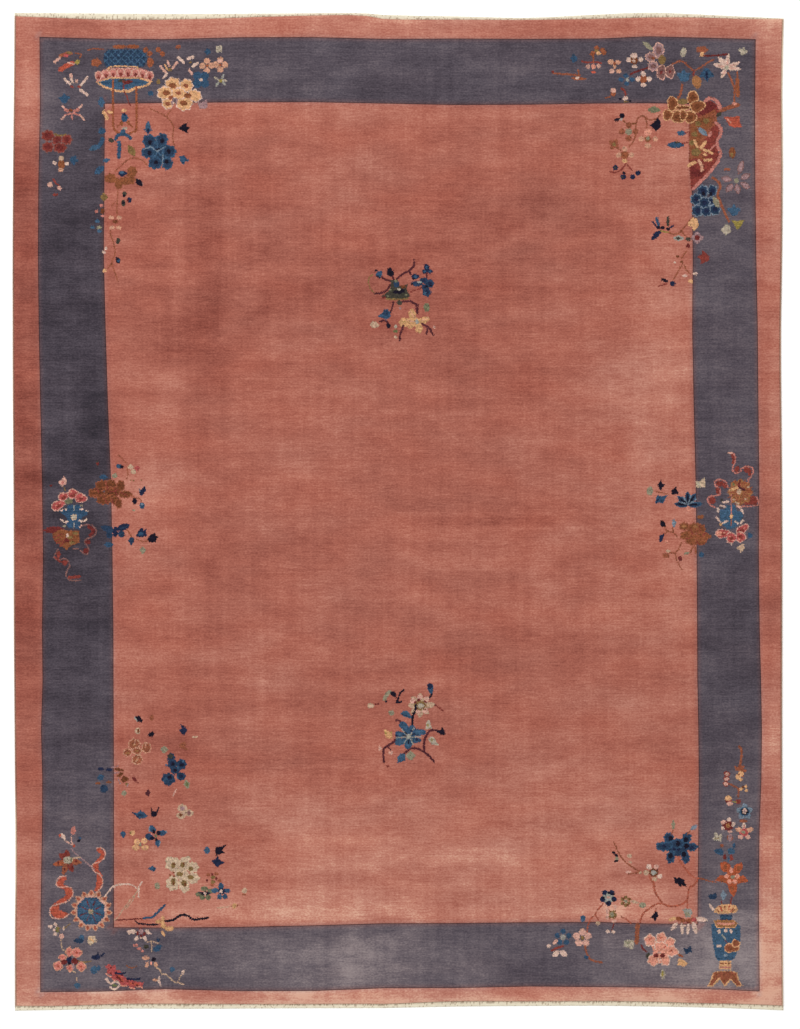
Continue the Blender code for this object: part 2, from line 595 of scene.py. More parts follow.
SIDE_PLACES = (
    SidePlace(30, 39.8, 104.5, 690.5, 755.3),
    SidePlace(105, 40.4, 104.5, 690.5, 754.6),
    SidePlace(180, 38.8, 104.0, 692.0, 754.8),
    SidePlace(255, 38.3, 103.4, 693.2, 755.8),
    SidePlace(330, 39.2, 105.3, 692.6, 757.4),
    SidePlace(405, 40.7, 107.6, 694.1, 758.0),
    SidePlace(480, 42.4, 110.6, 696.0, 758.9),
    SidePlace(555, 43.4, 112.1, 697.1, 758.4),
    SidePlace(630, 42.4, 113.0, 697.6, 759.3),
    SidePlace(680, 43.0, 113.1, 697.8, 760.7),
    SidePlace(730, 41.4, 113.3, 698.8, 761.6),
    SidePlace(780, 42.7, 113.5, 699.2, 761.0),
    SidePlace(830, 42.4, 113.5, 698.8, 759.1),
    SidePlace(905, 41.0, 113.5, 698.0, 758.5),
    SidePlace(985, 40.6, 113.8, 697.8, 759.2),
)
END_PLACES = (
    EndPlace(30, 37.0, 103.8, 927.6, 992.0),
    EndPlace(100, 39.0, 103.5, 927.6, 991.4),
    EndPlace(165, 39.6, 102.6, 928.0, 988.8),
    EndPlace(240, 37.6, 101.9, 927.3, 990.9),
    EndPlace(312, 37.5, 101.8, 925.8, 990.8),
    EndPlace(384, 39.3, 103.2, 923.7, 987.8),
    EndPlace(456, 38.9, 104.6, 923.5, 987.7),
    EndPlace(528, 39.3, 104.3, 922.6, 986.1),
    EndPlace(600, 38.9, 103.1, 922.3, 986.7),
    EndPlace(648, 36.6, 102.9, 923.9, 987.2),
    EndPlace(720, 38.5, 104.0, 924.5, 989.2),
    EndPlace(770, 40.0, 104.5, 924.5, 991.6),
)


class Border:
    """The uneven lines where guard stripe, band and field meet, in metres."""

    def __init__(self) -> None:
        """Turns the two tables of chart places into lines."""
        rows = np.array([chart_y(p.row) for p in SIDE_PLACES])[::-1]
        columns = np.array([chart_x(p.column) for p in END_PLACES])
        self.upright = {
            name: EdgeLine(rows, np.array([chart_x(getattr(p, name)) for p in SIDE_PLACES])[::-1])
            for name in UPRIGHT_LINES
        }
        self.level = {
            name: EdgeLine(columns, np.array([chart_y(getattr(p, name)) for p in END_PLACES]))
            for name in LEVEL_LINES
        }


# How worn and how dark the pile is from place to place, with painted shade along its fold creases


@dataclass(frozen=True)
class Patch:
    """A soft-edged patch of the rug, on the chart, that is paler or darker than the rest."""

    column: float
    row: float
    half_width: float
    half_height: float
    tone: float

    def share(self, x: np.ndarray, y: np.ndarray) -> np.ndarray:
        """How much of the patch reaches each place, from 0 to 1.

        Args:
            x: Places across, in metres.
            y: Places along, in metres.

        Returns:
            The shares.
        """
        across = (x - chart_x(self.column)) / (self.half_width * CHART_SQUARE)
        along = (y - chart_y(self.row)) / (self.half_height * CHART_SQUARE)
        return np.exp(-across ** 4 - along ** 4)


# The darker stripes about columns 205 and 260 and rows 190 and 521 are painted shade along the rug's fold
# creases.
PINK_PATCHES = tuple(Patch(*row) for row in (
    (400, 914, 290, 9, 0.12), (768, 955, 16, 38, 0.28), (769, 800, 14, 32, -0.22),
    (769, 565, 14, 80, -0.14), (769, 85, 14, 34, -0.16), (27, 168, 14, 38, -0.20),
    (640, 905, 54, 18, 0.22), (240, 902, 130, 18, 0.12), (755, 860, 22, 140, 0.07),
    (30, 110, 12, 95, 0.13), (760, 600, 12, 150, 0.05), (130, 250, 40, 52, -0.05),
    (365, 290, 115, 40, -0.05), (550, 425, 70, 48, 0.05), (325, 830, 75, 40, 0.05),
    (128, 1000, 42, 14, 0.14), (210, 1000, 36, 14, -0.16), (290, 1000, 34, 14, 0.18),
    (500, 1000, 70, 14, -0.12), (400, 515, 290, 410, -0.02), (560, 225, 60, 70, -0.07),
    (208, 320, 25, 110, -0.14), (203, 190, 20, 60, -0.07), (212, 490, 20, 80, -0.06),
    (258, 225, 20, 50, -0.08), (160, 340, 60, 25, -0.08), (231, 331, 35, 14, -0.08),
    (465, 347, 88, 162, -0.05), (330, 190, 230, 22, -0.05), (490, 521, 98, 5.5, -0.16),
    (330, 175, 50, 45, 0.05), (665, 400, 34, 240, 0.14), (640, 130, 60, 40, 0.08),
    (150, 440, 30, 80, 0.08), (150, 525, 38, 80, 0.04), (420, 870, 200, 60, 0.16),
    (535, 800, 60, 25, 0.05), (173, 877, 28, 19, 0.06), (150, 755, 45, 30, -0.07),
    (660, 880, 40, 40, -0.04), (210, 720, 40, 90, -0.04), (560, 660, 170, 14, -0.05),
    (26, 420, 22, 320, -0.24), (26, 930, 22, 110, 0.12), (400, 26, 400, 14, 0.13),
    (24, 110, 16, 60, 0.12), (778, 150, 16, 130, 0.12), (155, 350, 28, 25, -0.06),
    (262, 318, 30, 22, -0.08), (605, 130, 80, 40, -0.07), (622, 440, 30, 60, 0.06),
    (605, 640, 30, 60, 0.05), (300, 400, 90, 22, 0.05), (400, 270, 170, 70, -0.04),
    (135, 390, 40, 100, -0.06), (595, 795, 95, 45, 0.10), (650, 870, 60, 50, 0.08),
    (775, 850, 14, 140, 0.07), (70, 28, 40, 14, -0.16), (540, 26, 44, 14, -0.12),
    (400, 1000, 430, 14, 0.34), (775, 900, 20, 200, 0.14), (775, 60, 22, 60, 0.16),
    (778, 480, 8, 300, 0.08),
))
SLATE_PATCHES = tuple(Patch(*row) for row in (
    (110, 972, 70, 18, 0.10), (368, 962, 30, 26, 0.16), (545, 962, 50, 26, -0.16),
    (72, 430, 44, 320, -0.20), (730, 640, 40, 170, -0.06), (730, 330, 40, 200, 0.05),
    (420, 70, 190, 40, 0.04), (45, 113, 12, 36, 0.10), (560, 958, 230, 40, 0.20),
    (300, 958, 120, 40, 0.10), (70, 880, 44, 90, 0.14), (740, 840, 44, 110, 0.12),
    (742, 1000, 75, 95, 0.30), (620, 70, 80, 36, -0.08), (60, 105, 26, 44, 0.06),
    (470, 70, 75, 36, -0.08), (280, 960, 90, 30, 0.12), (740, 130, 44, 110, 0.05),
))


@dataclass(frozen=True)
class Hollow:
    """A place where feet have worn the pile down."""

    x: float
    y: float
    reach_x: float
    reach_y: float
    depth: float


HOLLOWS = (
    Hollow(0.55, 1.02, 0.30, 0.34, 0.0011),
    Hollow(-0.68, 0.55, 0.14, 0.75, 0.0010),
    Hollow(0.00, 0.62, 0.55, 0.30, 0.0007),
    Hollow(0.28, -0.25, 0.30, 0.75, 0.0008),
    Hollow(-0.72, -0.85, 0.22, 0.55, 0.0007),
    Hollow(1.02, -1.15, 0.25, 0.22, 0.0006),
)


def pile_top(x: np.ndarray, y: np.ndarray) -> np.ndarray:
    """The pile's height over the floor, in metres.

    Args:
        x: Places across.
        y: Places along.

    Returns:
        The heights.
    """
    height = np.full(np.shape(x), PILE_HEIGHT)
    for h in HOLLOWS:
        away = ((x - h.x) / h.reach_x) ** 2 + ((y - h.y) / h.reach_y) ** 2
        height = height - h.depth * np.exp(-away)
    return height


def new_piece(name: str, bm: bmesh.types.BMesh, materials: list) -> bpy.types.Object:
    """Turns a bmesh into a piece of the rug that rides on its body.

    Args:
        name: The piece's name.
        bm: Its shape, in place. It is freed.
        materials: The materials that its faces use, in order.

    Returns:
        The object.
    """
    mesh = bpy.data.meshes.new(name)
    bm.to_mesh(mesh)
    bm.free()
    for material in materials:
        mesh.materials.append(material)
    piece = bpy.data.objects.new(name, mesh)
    bpy.context.scene.collection.objects.link(piece)
    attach(piece, ROOT)
    return piece


def new_grid(places: np.ndarray) -> bmesh.types.BMesh:
    """A grid of four-sided faces through rows of places.

    Args:
        places: The rows, from near to far, of places from left to right.

    Returns:
        The grid.
    """
    rows, columns = places.shape[:2]
    bm = bmesh.new()
    bmesh.ops.create_grid(bm, x_segments=columns - 1, y_segments=rows - 1, size=0.5)
    for vertex, place in zip(bm.verts, places.reshape(-1, 3)):
        vertex.co = place
    return bm


def set_values(bm: bmesh.types.BMesh, name: str, values: np.ndarray) -> None:
    """Gives every vertex of a bmesh its value of a new attribute, in order."""
    layer = bm.verts.layers.float.new(name)
    for vertex, value in zip(bm.verts, values.reshape(-1)):
        vertex[layer] = value


def add_back(bm: bmesh.types.BMesh, height: Callable[[float], float]) -> set[bmesh.types.BMFace]:
    """Closes an open sheet with walls and a back.

    Args:
        bm: The sheet.
        height: The back's height under a place of the sheet, from the height there.

    Returns:
        The new faces.
    """
    top = list(bm.faces)
    grown = bmesh.ops.extrude_face_region(bm, geom=top, use_keep_orig=True)["geom"]
    back = [part for part in grown if isinstance(part, bmesh.types.BMFace)]
    for part in grown:
        if isinstance(part, bmesh.types.BMVert):
            part.co.z = height(part.co.z)
    bmesh.ops.reverse_faces(bm, faces=back)
    bmesh.ops.recalc_face_normals(bm, faces=bm.faces)
    return set(bm.faces) - set(top)


class Zone(Enum):
    """The rug's colour areas, by the pile's material number."""

    PINK = 0
    SLATE = 1
    # The carved lines, coloured with painted shade
    LINE = 2


@dataclass
class GridLine:
    """One line of the pile's grid: between two border lines, at a share of the way."""

    after: int
    share: float
    groove: bool = False


@dataclass
class PileSheet:
    """The pile as one closed sheet, its grid drawn along the border's uneven lines."""

    outline: Outline
    border: Border
    cell: float = 0.018
    shoulder: float = 0.004
    shoulder_steps: int = 3
    groove_width: float = 0.0032
    groove_depth: float = 0.0012
    edge_reach: float = 0.020
    frayed_reach: float = 0.014
    frayed_tone: float = 0.13
    tuft_height: float = 0.00006

    SPANS = 5
    LEVELS = (1, 2)
    SLACK = 0.02
    SEED = 7
    TOP_PICTURE = (0.002, 0.03, 0.996, 0.968)
    BACK_SHARE = 0.02

    def lines_between(self, spans: list[float]) -> list[GridLine]:
        """Grid lines for spans between control lines, with a rounded shoulder and carved lines.

        Args:
            spans: The usual widths of the spans, in metres, from one edge to the other.

        Returns:
            The grid lines in order.
        """
        lines = []
        last = len(spans) - 1
        rounding = [
            1 - math.cos(math.pi / 2 * k / self.shoulder_steps)
            for k in range(self.shoulder_steps + 1)
        ]
        for i, span in enumerate(spans):
            half_groove = self.groove_width / 2 / span
            shoulder = self.shoulder / span
            start = shoulder if i == 0 else half_groove
            end = 1 - (shoulder if i == last else half_groove)
            if i == 0:
                lines += [GridLine(i, shoulder * share) for share in rounding[:-1]]
            else:
                lines.append(GridLine(i, 0.0, groove=True))
            cells = max(1, round(span / self.cell))
            lines += [GridLine(i, start + (end - start) * k / cells) for k in range(cells + 1)]
            if i == last:
                lines += [GridLine(i, 1 - shoulder * share) for share in rounding[-2::-1]]
        return lines

    def controls(self, x: np.ndarray, y: np.ndarray) -> tuple[np.ndarray, np.ndarray]:
        """The six upright lines' X at each Y, and the six level lines' Y at each X."""
        between = [self.border.upright[name].at(y) for name in UPRIGHT_LINES]
        upright = [self.outline.left.at(y), *between, self.outline.right.at(y)]
        between = [self.border.level[name].at(x) for name in LEVEL_LINES]
        level = [self.outline.near.at(x), *between, self.outline.far.at(x)]
        return np.array(upright), np.array(level)

    def plan(self) -> tuple[np.ndarray, np.ndarray, list[GridLine], list[GridLine]]:
        """Where each grid vertex lies, as two arrays, and the grid lines across and along."""
        middle = self.controls(np.zeros(1), np.zeros(1))
        across, along = (self.lines_between(list(np.diff(m[:, 0]))) for m in middle)
        x, y = np.zeros((2, len(along), len(across)))
        for _ in range(4):
            upright, level = self.controls(x, y)
            for j, line in enumerate(across):
                low, high = upright[line.after, :, j], upright[line.after + 1, :, j]
                x[:, j] = low + (high - low) * line.share
            for i, line in enumerate(along):
                low, high = level[line.after, i], level[line.after + 1, i]
                y[i] = low + (high - low) * line.share
        return x, y, across, along

    def heights(
        self, x: np.ndarray, y: np.ndarray, across: list[GridLine], along: list[GridLine]
    ) -> np.ndarray:
        """The pile's height at each vertex: worn, tufted, carved, and rounded at its rim."""
        tufts = np.random.default_rng(self.SEED).normal(0, self.tuft_height, x.shape)
        height = pile_top(x, y) + tufts
        height[self.carved(across, along)] -= self.groove_depth
        rim = np.minimum.reduce([
            x - self.outline.left.at(y),
            self.outline.right.at(y) - x,
            y - self.outline.near.at(x),
            self.outline.far.at(x) - y,
        ])
        inward = np.clip(rim / self.shoulder, 0, 1)
        return height - self.shoulder * (1 - np.sqrt(1 - (1 - inward) ** 2))

    def carved(self, across: list[GridLine], along: list[GridLine]) -> np.ndarray:
        """Which vertices lie at the bottom of a carved line."""
        found = np.zeros((len(along), len(across)), bool)
        for level in self.LEVELS:
            for j, line in enumerate(across):
                if line.groove and self.level_of(line.after) == level:
                    found[:, j] |= [self.within(other, level) for other in along]
            for i, line in enumerate(along):
                if line.groove and self.level_of(line.after) == level:
                    found[i] |= [self.within(other, level) for other in across]
        return found

    def level_of(self, place: float) -> float:
        """How far in a place lies, in spans from the nearer edge."""
        return min(place, self.SPANS - place)

    def within(self, line: GridLine, level: int) -> bool:
        """Whether a line lies at or inside the border line of that level."""
        return level <= line.after + line.share <= self.SPANS - level

    def zone(self, u: float, v: float) -> Zone:
        """The colour area at a place between control lines, both counted in spans."""
        outer, inner = self.LEVELS
        return Zone.SLATE if outer <= min(self.level_of(u), self.level_of(v)) < inner else Zone.PINK

    def build(self, materials: list) -> bpy.types.Object:
        """Builds the sheet.

        Args:
            materials: The pink and slate wools, and the carved lines' painted shade.

        Returns:
            The piece.
        """
        x, y, across, along = self.plan()
        bm = new_grid(np.stack([x, y, self.heights(x, y, across, along)], axis=-1))
        set_values(bm, PileWool.TONE, self.tones(x, y))
        set_values(bm, PileWool.EDGE, self.edges(x, y))
        self.colour_faces(bm, across, along)
        layer = bm.loops.layers.uv.new(PICTURE_LAYER)
        self.unwrap(bm, layer)
        for face in add_back(bm, lambda height: FOOT):
            for loop in face.loops:
                loop[layer].uv.y *= self.BACK_SHARE
        piece = new_piece("pile", bm, materials)
        piece.data.shade_smooth()
        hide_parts("rug_pile")
        return piece

    def tones(self, x: np.ndarray, y: np.ndarray) -> np.ndarray:
        """How much paler or darker than usual the pink or the slate wool is at each vertex."""
        # The pink patches include painted shade along the fold creases.
        pink = sum(patch.tone * patch.share(x, y) for patch in PINK_PATCHES)
        slate = sum(patch.tone * patch.share(x, y) for patch in SLATE_PATCHES)
        inward = np.minimum(y - self.outline.near.at(x), self.outline.far.at(x) - y)
        pink = pink + self.frayed_tone * np.exp(-(inward / self.frayed_reach) ** 2)
        return np.where(self.slate_share(x, y), slate, pink)

    def slate_share(self, x: np.ndarray, y: np.ndarray) -> np.ndarray:
        """Which places lie in the band."""
        upright, level = self.controls(x, y)
        outer = (x > upright[1]) & (x < upright[4]) & (y > level[1]) & (y < level[4])
        inner = (x > upright[2]) & (x < upright[3]) & (y > level[2]) & (y < level[3])
        return outer & ~inner

    def edges(self, x: np.ndarray, y: np.ndarray) -> np.ndarray:
        """How near each vertex is to a carved line, 1 on it and 0 from edge_reach away."""
        upright, level = self.controls(x, y)
        reach = self.edge_reach
        away = np.full(x.shape, 1.0)
        for k in self.LEVELS:
            left, right, near, far = upright[k], upright[-1 - k], level[k], level[-1 - k]
            rows = (y > near - reach) & (y < far + reach)
            columns = (x > left - reach) & (x < right + reach)
            for line in (left, right):
                away = np.where(rows, np.minimum(away, np.abs(x - line)), away)
            for line in (near, far):
                away = np.where(columns, np.minimum(away, np.abs(y - line)), away)
        return np.clip(1 - away / reach, 0, 1)

    def colour_faces(
        self, bm: bmesh.types.BMesh, across: list[GridLine], along: list[GridLine]
    ) -> None:
        """Gives each face of the grid the material of its colour area."""
        us = [line.after + line.share for line in across]
        vs = [line.after + line.share for line in along]
        middles_u = [(a + b) / 2 for a, b in zip(us, us[1:])]
        middles_v = [(a + b) / 2 for a, b in zip(vs, vs[1:])]
        groove_u = [a.groove or b.groove for a, b in zip(across, across[1:])]
        groove_v = [a.groove or b.groove for a, b in zip(along, along[1:])]
        for number, face in enumerate(bm.faces):
            i, j = divmod(number, len(middles_u))
            u, v = middles_u[j], middles_v[i]
            # Faces of a carved line take the material whose darker shades are painted shade
            line = (groove_u[j] and self.crosses(u, v)) or (groove_v[i] and self.crosses(v, u))
            face.material_index = (Zone.LINE if line else self.zone(u, v)).value

    def crosses(self, place: float, other: float) -> bool:
        """Whether a carved line at one place goes on at another place across it."""
        return self.level_of(other) >= self.level_of(round(place)) - self.SLACK

    def unwrap(self, bm: bmesh.types.BMesh, layer: bmesh.types.BMLayerItem) -> None:
        """Lays the top flat over nearly the whole of the pile's picture."""
        low, high = CAD_BOX
        left, foot, width, height = self.TOP_PICTURE
        for face in bm.faces:
            for loop in face.loops:
                u = (loop.vert.co.x - low[0]) / (high[0] - low[0])
                v = (loop.vert.co.y - low[1]) / (high[1] - low[1])
                loop[layer].uv = (left + width * u, foot + height * v)


# The ornaments, knot by knot


class Dye(Enum):
    """The ornament yarns, each as the eye reads it, from 0 to 255 a channel."""

    INK = (26, 21, 34)
    NAVY = (32, 38, 62)
    PEACOCK = (40, 56, 78)
    BLUE = (50, 74, 98)
    TEAL = (60, 85, 108)
    SKY = (110, 122, 134)
    MIST = (144, 140, 132)
    GREEN = (62, 58, 50)
    MOSS = (108, 106, 82)
    LEAF = (100, 104, 68)
    OLIVE = (121, 95, 59)
    LIME = (138, 121, 63)
    SAGE = (134, 126, 105)
    PALE = (162, 149, 132)
    CREAM = (201, 152, 110)
    IVORY = (200, 169, 154)
    SAND = (178, 147, 123)
    PEACH = (187, 137, 113)
    BLUSH = (194, 148, 133)
    ROSE = (176, 111, 101)
    MAUVE = (146, 115, 116)
    RUST = (137, 77, 52)
    FLAME = (166, 78, 60)
    BROWN = (126, 74, 48)
    UMBER = (106, 60, 38)
    CRIMSON = (122, 55, 48)
    CHERRY = (163, 76, 74)
    MAROON = (102, 42, 40)
    WINE = (76, 36, 42)
    GOLD = (186, 140, 98)
    TAN = (147, 99, 64)
    SIENNA = (137, 78, 57)
    CORAL = (206, 138, 118)
    PLUM = (119, 83, 79)
    OAT = (188, 162, 137)
    EMBER = (160, 80, 52)
    CLAY = (156, 82, 64)
    SHELL = (193, 116, 104)


(
    INK, NAVY, PEACOCK, BLUE, TEAL, SKY, MIST, GREEN, MOSS, LEAF, OLIVE, LIME, SAGE, PALE, CREAM,
    IVORY, SAND, PEACH, BLUSH, ROSE, MAUVE, RUST, FLAME, BROWN, UMBER, CRIMSON, CHERRY, MAROON,
    WINE, GOLD, TAN, SIENNA, CORAL, PLUM, OAT, EMBER, CLAY, SHELL,
) = Dye


@dataclass(frozen=True)
class Window:
    """A rectangle of the chart, with each knot's place measured from a point and a turn."""

    rows: slice
    columns: slice
    out: np.ndarray
    aside: np.ndarray


class Chart:
    """The ornaments knot by knot: the number of each knot's dye, 0 where the ground shows."""

    COLUMNS = 800
    ROWS = 1029
    KNOTS = 1.5
    RAGGED = 0.42
    MARGIN = 3
    SEED = 3
    DYES = list(Dye)

    def __init__(self) -> None:
        """Makes an empty chart."""
        shape = (int(self.ROWS * self.KNOTS), int(self.COLUMNS * self.KNOTS))
        self.knots = np.zeros(shape, np.uint8)
        self.ragged = np.random.default_rng(self.SEED).normal(0, self.RAGGED, (2, *shape))
        self.origin = (0.0, 0.0)

    def window(self, column: float, row: float, reach: float, turn: float = 0.0) -> Window:
        """The knots within reach of a place, measured along and across a turn.

        Args:
            column: The place's column, in knots from the motif's own corner.
            row: The place's row, in knots from the motif's own corner.
            reach: How far the window goes to each side, in knots.
            turn: Degrees, clockwise from pointing right.

        Returns:
            The window.
        """
        column, row = column + self.origin[0], row + self.origin[1]
        rows, columns = (
            slice(max(0, int(middle - reach)), min(most, int(middle + reach) + 2))
            for middle, most in zip((row, column), self.knots.shape)
        )
        down, right = np.mgrid[rows, columns]
        across = right + 0.5 - column + self.ragged[0][rows, columns]
        along = down + 0.5 - row + self.ragged[1][rows, columns]
        angle = math.radians(turn)
        out = across * math.cos(angle) + along * math.sin(angle)
        aside = along * math.cos(angle) - across * math.sin(angle)
        return Window(rows, columns, out, aside)

    def fill(self, window: Window, covered: np.ndarray, dye: Dye) -> None:
        """Dyes the covered knots of a window."""
        self.knots[window.rows, window.columns][covered] = self.DYES.index(dye) + 1


@dataclass(frozen=True)
class Oval:
    """A round or oval spot, its edge waved if it has waves."""

    column: float
    row: float
    width: float
    height: float
    dye: Dye
    turn: float = 0.0
    rim: Dye | None = None
    waves: int = 0

    RIM = 2.7
    WAVE = 0.09

    def paint(self, chart: Chart) -> None:
        """Lays it on the chart."""
        reach = max(self.width, self.height) / 2 + chart.MARGIN
        window = chart.window(self.column, self.row, reach, self.turn)
        angle = np.arctan2(window.aside, window.out)
        edge = 1 + (self.WAVE * np.cos(self.waves * angle) if self.waves else 0)
        if self.rim:
            chart.fill(window, self.inside(window, self.RIM, edge), self.rim)
        chart.fill(window, self.inside(window, 0.0, edge), self.dye)

    def inside(self, window: Window, grown: float, edge: np.ndarray) -> np.ndarray:
        """Which knots lie in the oval, made wider and higher by an amount."""
        width, height = self.width + grown, self.height + grown
        return np.hypot(window.out * 2 / width, window.aside * 2 / height) <= edge


@dataclass(frozen=True)
class Blade:
    """A leaf or a petal that springs from one place, pointed at both ends."""

    column: float
    row: float
    length: float
    width: float
    turn: float
    dye: Dye
    rim: Dye | None = None
    fullness: float = 1.0
    start: float = 0.0

    RIM = 1.1
    TAPER = 0.75

    def paint(self, chart: Chart) -> None:
        """Lays it on the chart."""
        reach = self.length + self.start + chart.MARGIN
        window = chart.window(self.column, self.row, reach, self.turn)
        if self.rim:
            chart.fill(window, self.inside(window, self.RIM), self.rim)
        chart.fill(window, self.inside(window, 0.0), self.dye)

    def inside(self, window: Window, grown: float) -> np.ndarray:
        """Which knots lie in the blade, grown all round by an amount."""
        along = (window.out - self.start + grown) / (self.length + 2 * grown)
        within = np.clip(along, 0, 1)
        bulge = np.sin(np.pi * within ** self.fullness) ** self.TAPER
        half = (self.width / 2 + grown) * bulge
        return (np.abs(window.aside) <= half) & (along > 0) & (along < 1)


def around(count: int, first: float = -90.0) -> tuple[float, ...]:
    """Evenly spread turns, in degrees, from a first one."""
    return tuple(first + 360 * k / count for k in range(count))


@dataclass(frozen=True)
class Burst:
    """Petals or blades that spring from one place at given turns."""

    column: float
    row: float
    length: float
    width: float
    dye: Dye
    turns: tuple[float, ...]
    rim: Dye | None = None
    fullness: float = 1.0
    start: float = 0.0

    def paint(self, chart: Chart) -> None:
        """Lays it on the chart."""
        for turn in self.turns:
            place = (self.column, self.row, self.length, self.width, turn)
            Blade(*place, self.dye, self.rim, self.fullness, self.start).paint(chart)


@dataclass(frozen=True)
class Flower:
    """A small flower of round petals about a heart."""

    column: float
    row: float
    reach: float
    petal: float
    count: int
    dye: Dye
    heart: Dye
    heart_size: float
    first: float = -90.0

    FULLNESS = 1.16

    def paint(self, chart: Chart) -> None:
        """Lays it on the chart."""
        size = self.petal * self.FULLNESS
        for turn in around(self.count, self.first):
            angle = math.radians(turn)
            column = self.column + self.reach * math.cos(angle)
            row = self.row + self.reach * math.sin(angle)
            Oval(column, row, size, size, self.dye, turn).paint(chart)
        Oval(self.column, self.row, self.heart_size, self.heart_size, self.heart).paint(chart)


@dataclass(frozen=True)
class Peony:
    """Waved lobes laid one over another, each with a rim and a spot.

    Each lobe is a column, a row, a width, a height and a turn.
    """

    dye: Dye
    lobes: tuple[float, ...]
    rim: Dye | None = None
    spot: Dye | None = None
    spot_share: float = 0.4
    waves: int = 7

    def paint(self, chart: Chart) -> None:
        """Lays it on the chart."""
        for column, row, width, height, turn in np.reshape(self.lobes, (-1, 5)):
            Oval(column, row, width, height, self.dye, turn, self.rim, self.waves).paint(chart)
            if self.spot:
                size = (width * self.spot_share, height * self.spot_share)
                Oval(column, row, *size, self.spot, turn).paint(chart)


@dataclass(frozen=True)
class Line:
    """A stem, cord or ribbon: a smooth line through points, each a column and a row."""

    dye: Dye
    width: float
    points: tuple[float, ...]

    STEPS = 5

    def paint(self, chart: Chart) -> None:
        """Lays it on the chart."""
        path = self.smoothed()
        for start, end in zip(path, path[1:]):
            self.stroke(chart, start, end, self.width / 2, self.dye)

    def smoothed(self) -> np.ndarray:
        """The points with a curve's points set between them."""
        points = np.reshape(self.points, (-1, 2))
        p = np.array([points[0], *points, points[-1]], float)
        path = [p[1]]
        for a, b, c, d in zip(p, p[1:], p[2:], p[3:]):
            for k in range(1, self.STEPS + 1):
                t = k / self.STEPS
                bend = 2 * a - 5 * b + 4 * c - d + t * (3 * (b - c) + d - a)
                path.append(b + 0.5 * t * (c - a + t * bend))
        return np.array(path)

    @staticmethod
    def stroke(chart: Chart, start: np.ndarray, end: np.ndarray, half: float, dye: Dye) -> None:
        """Lays one straight part of the line."""
        middle, step = (start + end) / 2, end - start
        length = float(np.hypot(*step))
        turn = math.degrees(math.atan2(step[1], step[0]))
        window = chart.window(*middle, length / 2 + half + chart.MARGIN / 2, turn)
        past = np.maximum(np.abs(window.out) - length / 2, 0)
        chart.fill(window, np.hypot(past, window.aside) <= half, dye)


@dataclass(frozen=True)
class Area:
    """A many-sided area with its corners at points, each a column and a row."""

    dye: Dye
    points: tuple[float, ...]

    def paint(self, chart: Chart) -> None:
        """Lays it on the chart."""
        corners = np.reshape(self.points, (-1, 2))
        middle = (corners.min(0) + corners.max(0)) / 2
        reach = float(np.ptp(corners, axis=0).max()) / 2 + chart.MARGIN
        window = chart.window(*middle, reach)
        x, y = window.out + middle[0], window.aside + middle[1]
        inside = np.zeros(x.shape, bool)
        for (x0, y0), (x1, y1) in zip(corners, np.roll(corners, -1, axis=0)):
            if y0 != y1:
                inside ^= ((y0 > y) != (y1 > y)) & (x < x0 + (y - y0) * (x1 - x0) / (y1 - y0))
        chart.fill(window, inside, self.dye)


@dataclass(frozen=True)
class Lattice:
    """Crossed slanting lines over a dye that is already there."""

    column: float
    row: float
    width: float
    height: float
    pitch: float
    over: Dye
    dye: Dye

    HALF_LINE = 0.93

    def paint(self, chart: Chart) -> None:
        """Lays it on the chart."""
        window = chart.window(self.column, self.row, self.width / 2)
        within = (np.abs(window.out) < self.width / 2) & (np.abs(window.aside) < self.height / 2)
        for slope in (1, -1):
            slant = (window.out + slope * window.aside) % self.pitch
            on_line = np.abs(slant - self.pitch / 2) < self.HALF_LINE
            there = chart.knots[window.rows, window.columns] == chart.DYES.index(self.over) + 1
            chart.fill(window, within & on_line & there, self.dye)


@dataclass(frozen=True)
class Trefoil:
    """A compact leaf of three short points on a round body, springing from its foot."""

    column: float
    row: float
    size: float
    turn: float
    dye: Dye

    REACH = 0.40
    BODY = 0.58
    POINT_LENGTH = 0.54
    POINT_WIDTH = 0.36
    SPREAD = 62
    FULLNESS = 0.7

    def paint(self, chart: Chart) -> None:
        """Lays it on the chart."""
        angle, reach = math.radians(self.turn), self.size * self.REACH
        column, row = self.column + reach * math.cos(angle), self.row + reach * math.sin(angle)
        body = self.size * self.BODY
        Oval(column, row, body, body, self.dye).paint(chart)
        point = (self.size * self.POINT_LENGTH, self.size * self.POINT_WIDTH)
        turns = (self.turn - self.SPREAD, self.turn, self.turn + self.SPREAD)
        Burst(column, row, *point, self.dye, turns, fullness=self.FULLNESS).paint(chart)


@dataclass(frozen=True)
class Spots:
    """Ovals of one size and dye, at several places, each a column and a row."""

    dye: Dye
    width: float
    height: float
    places: tuple[float, ...]
    turn: float = 0.0
    rim: Dye | None = None
    waves: int = 0

    def paint(self, chart: Chart) -> None:
        """Lays them on the chart."""
        for place in np.reshape(self.places, (-1, 2)):
            Oval(*place, self.width, self.height, self.dye, self.turn, self.rim, self.waves).paint(chart)


@dataclass(frozen=True)
class Bars:
    """Short straight strokes of one dye, each from a column and a row to a column and a row."""

    dye: Dye
    width: float
    ends: tuple[float, ...]

    def paint(self, chart: Chart) -> None:
        """Lays them on the chart."""
        for start, end in np.reshape(self.ends, (-1, 2, 2)):
            Line.stroke(chart, start, end, self.width / 2, self.dye)


@dataclass(frozen=True)
class Motif:
    """Shapes that belong together, placed in knots from their own corner on the chart.

    Its column and row are in chart squares.
    """

    column: float
    row: float
    shapes: tuple

    def paint(self, chart: Chart) -> None:
        """Lays its shapes on the chart, in order."""
        chart.origin = (self.column * chart.KNOTS, self.row * chart.KNOTS)
        for shape in self.shapes:
            shape.paint(chart)


# The ornaments' motifs, and the pads that they are laid on, each in its order


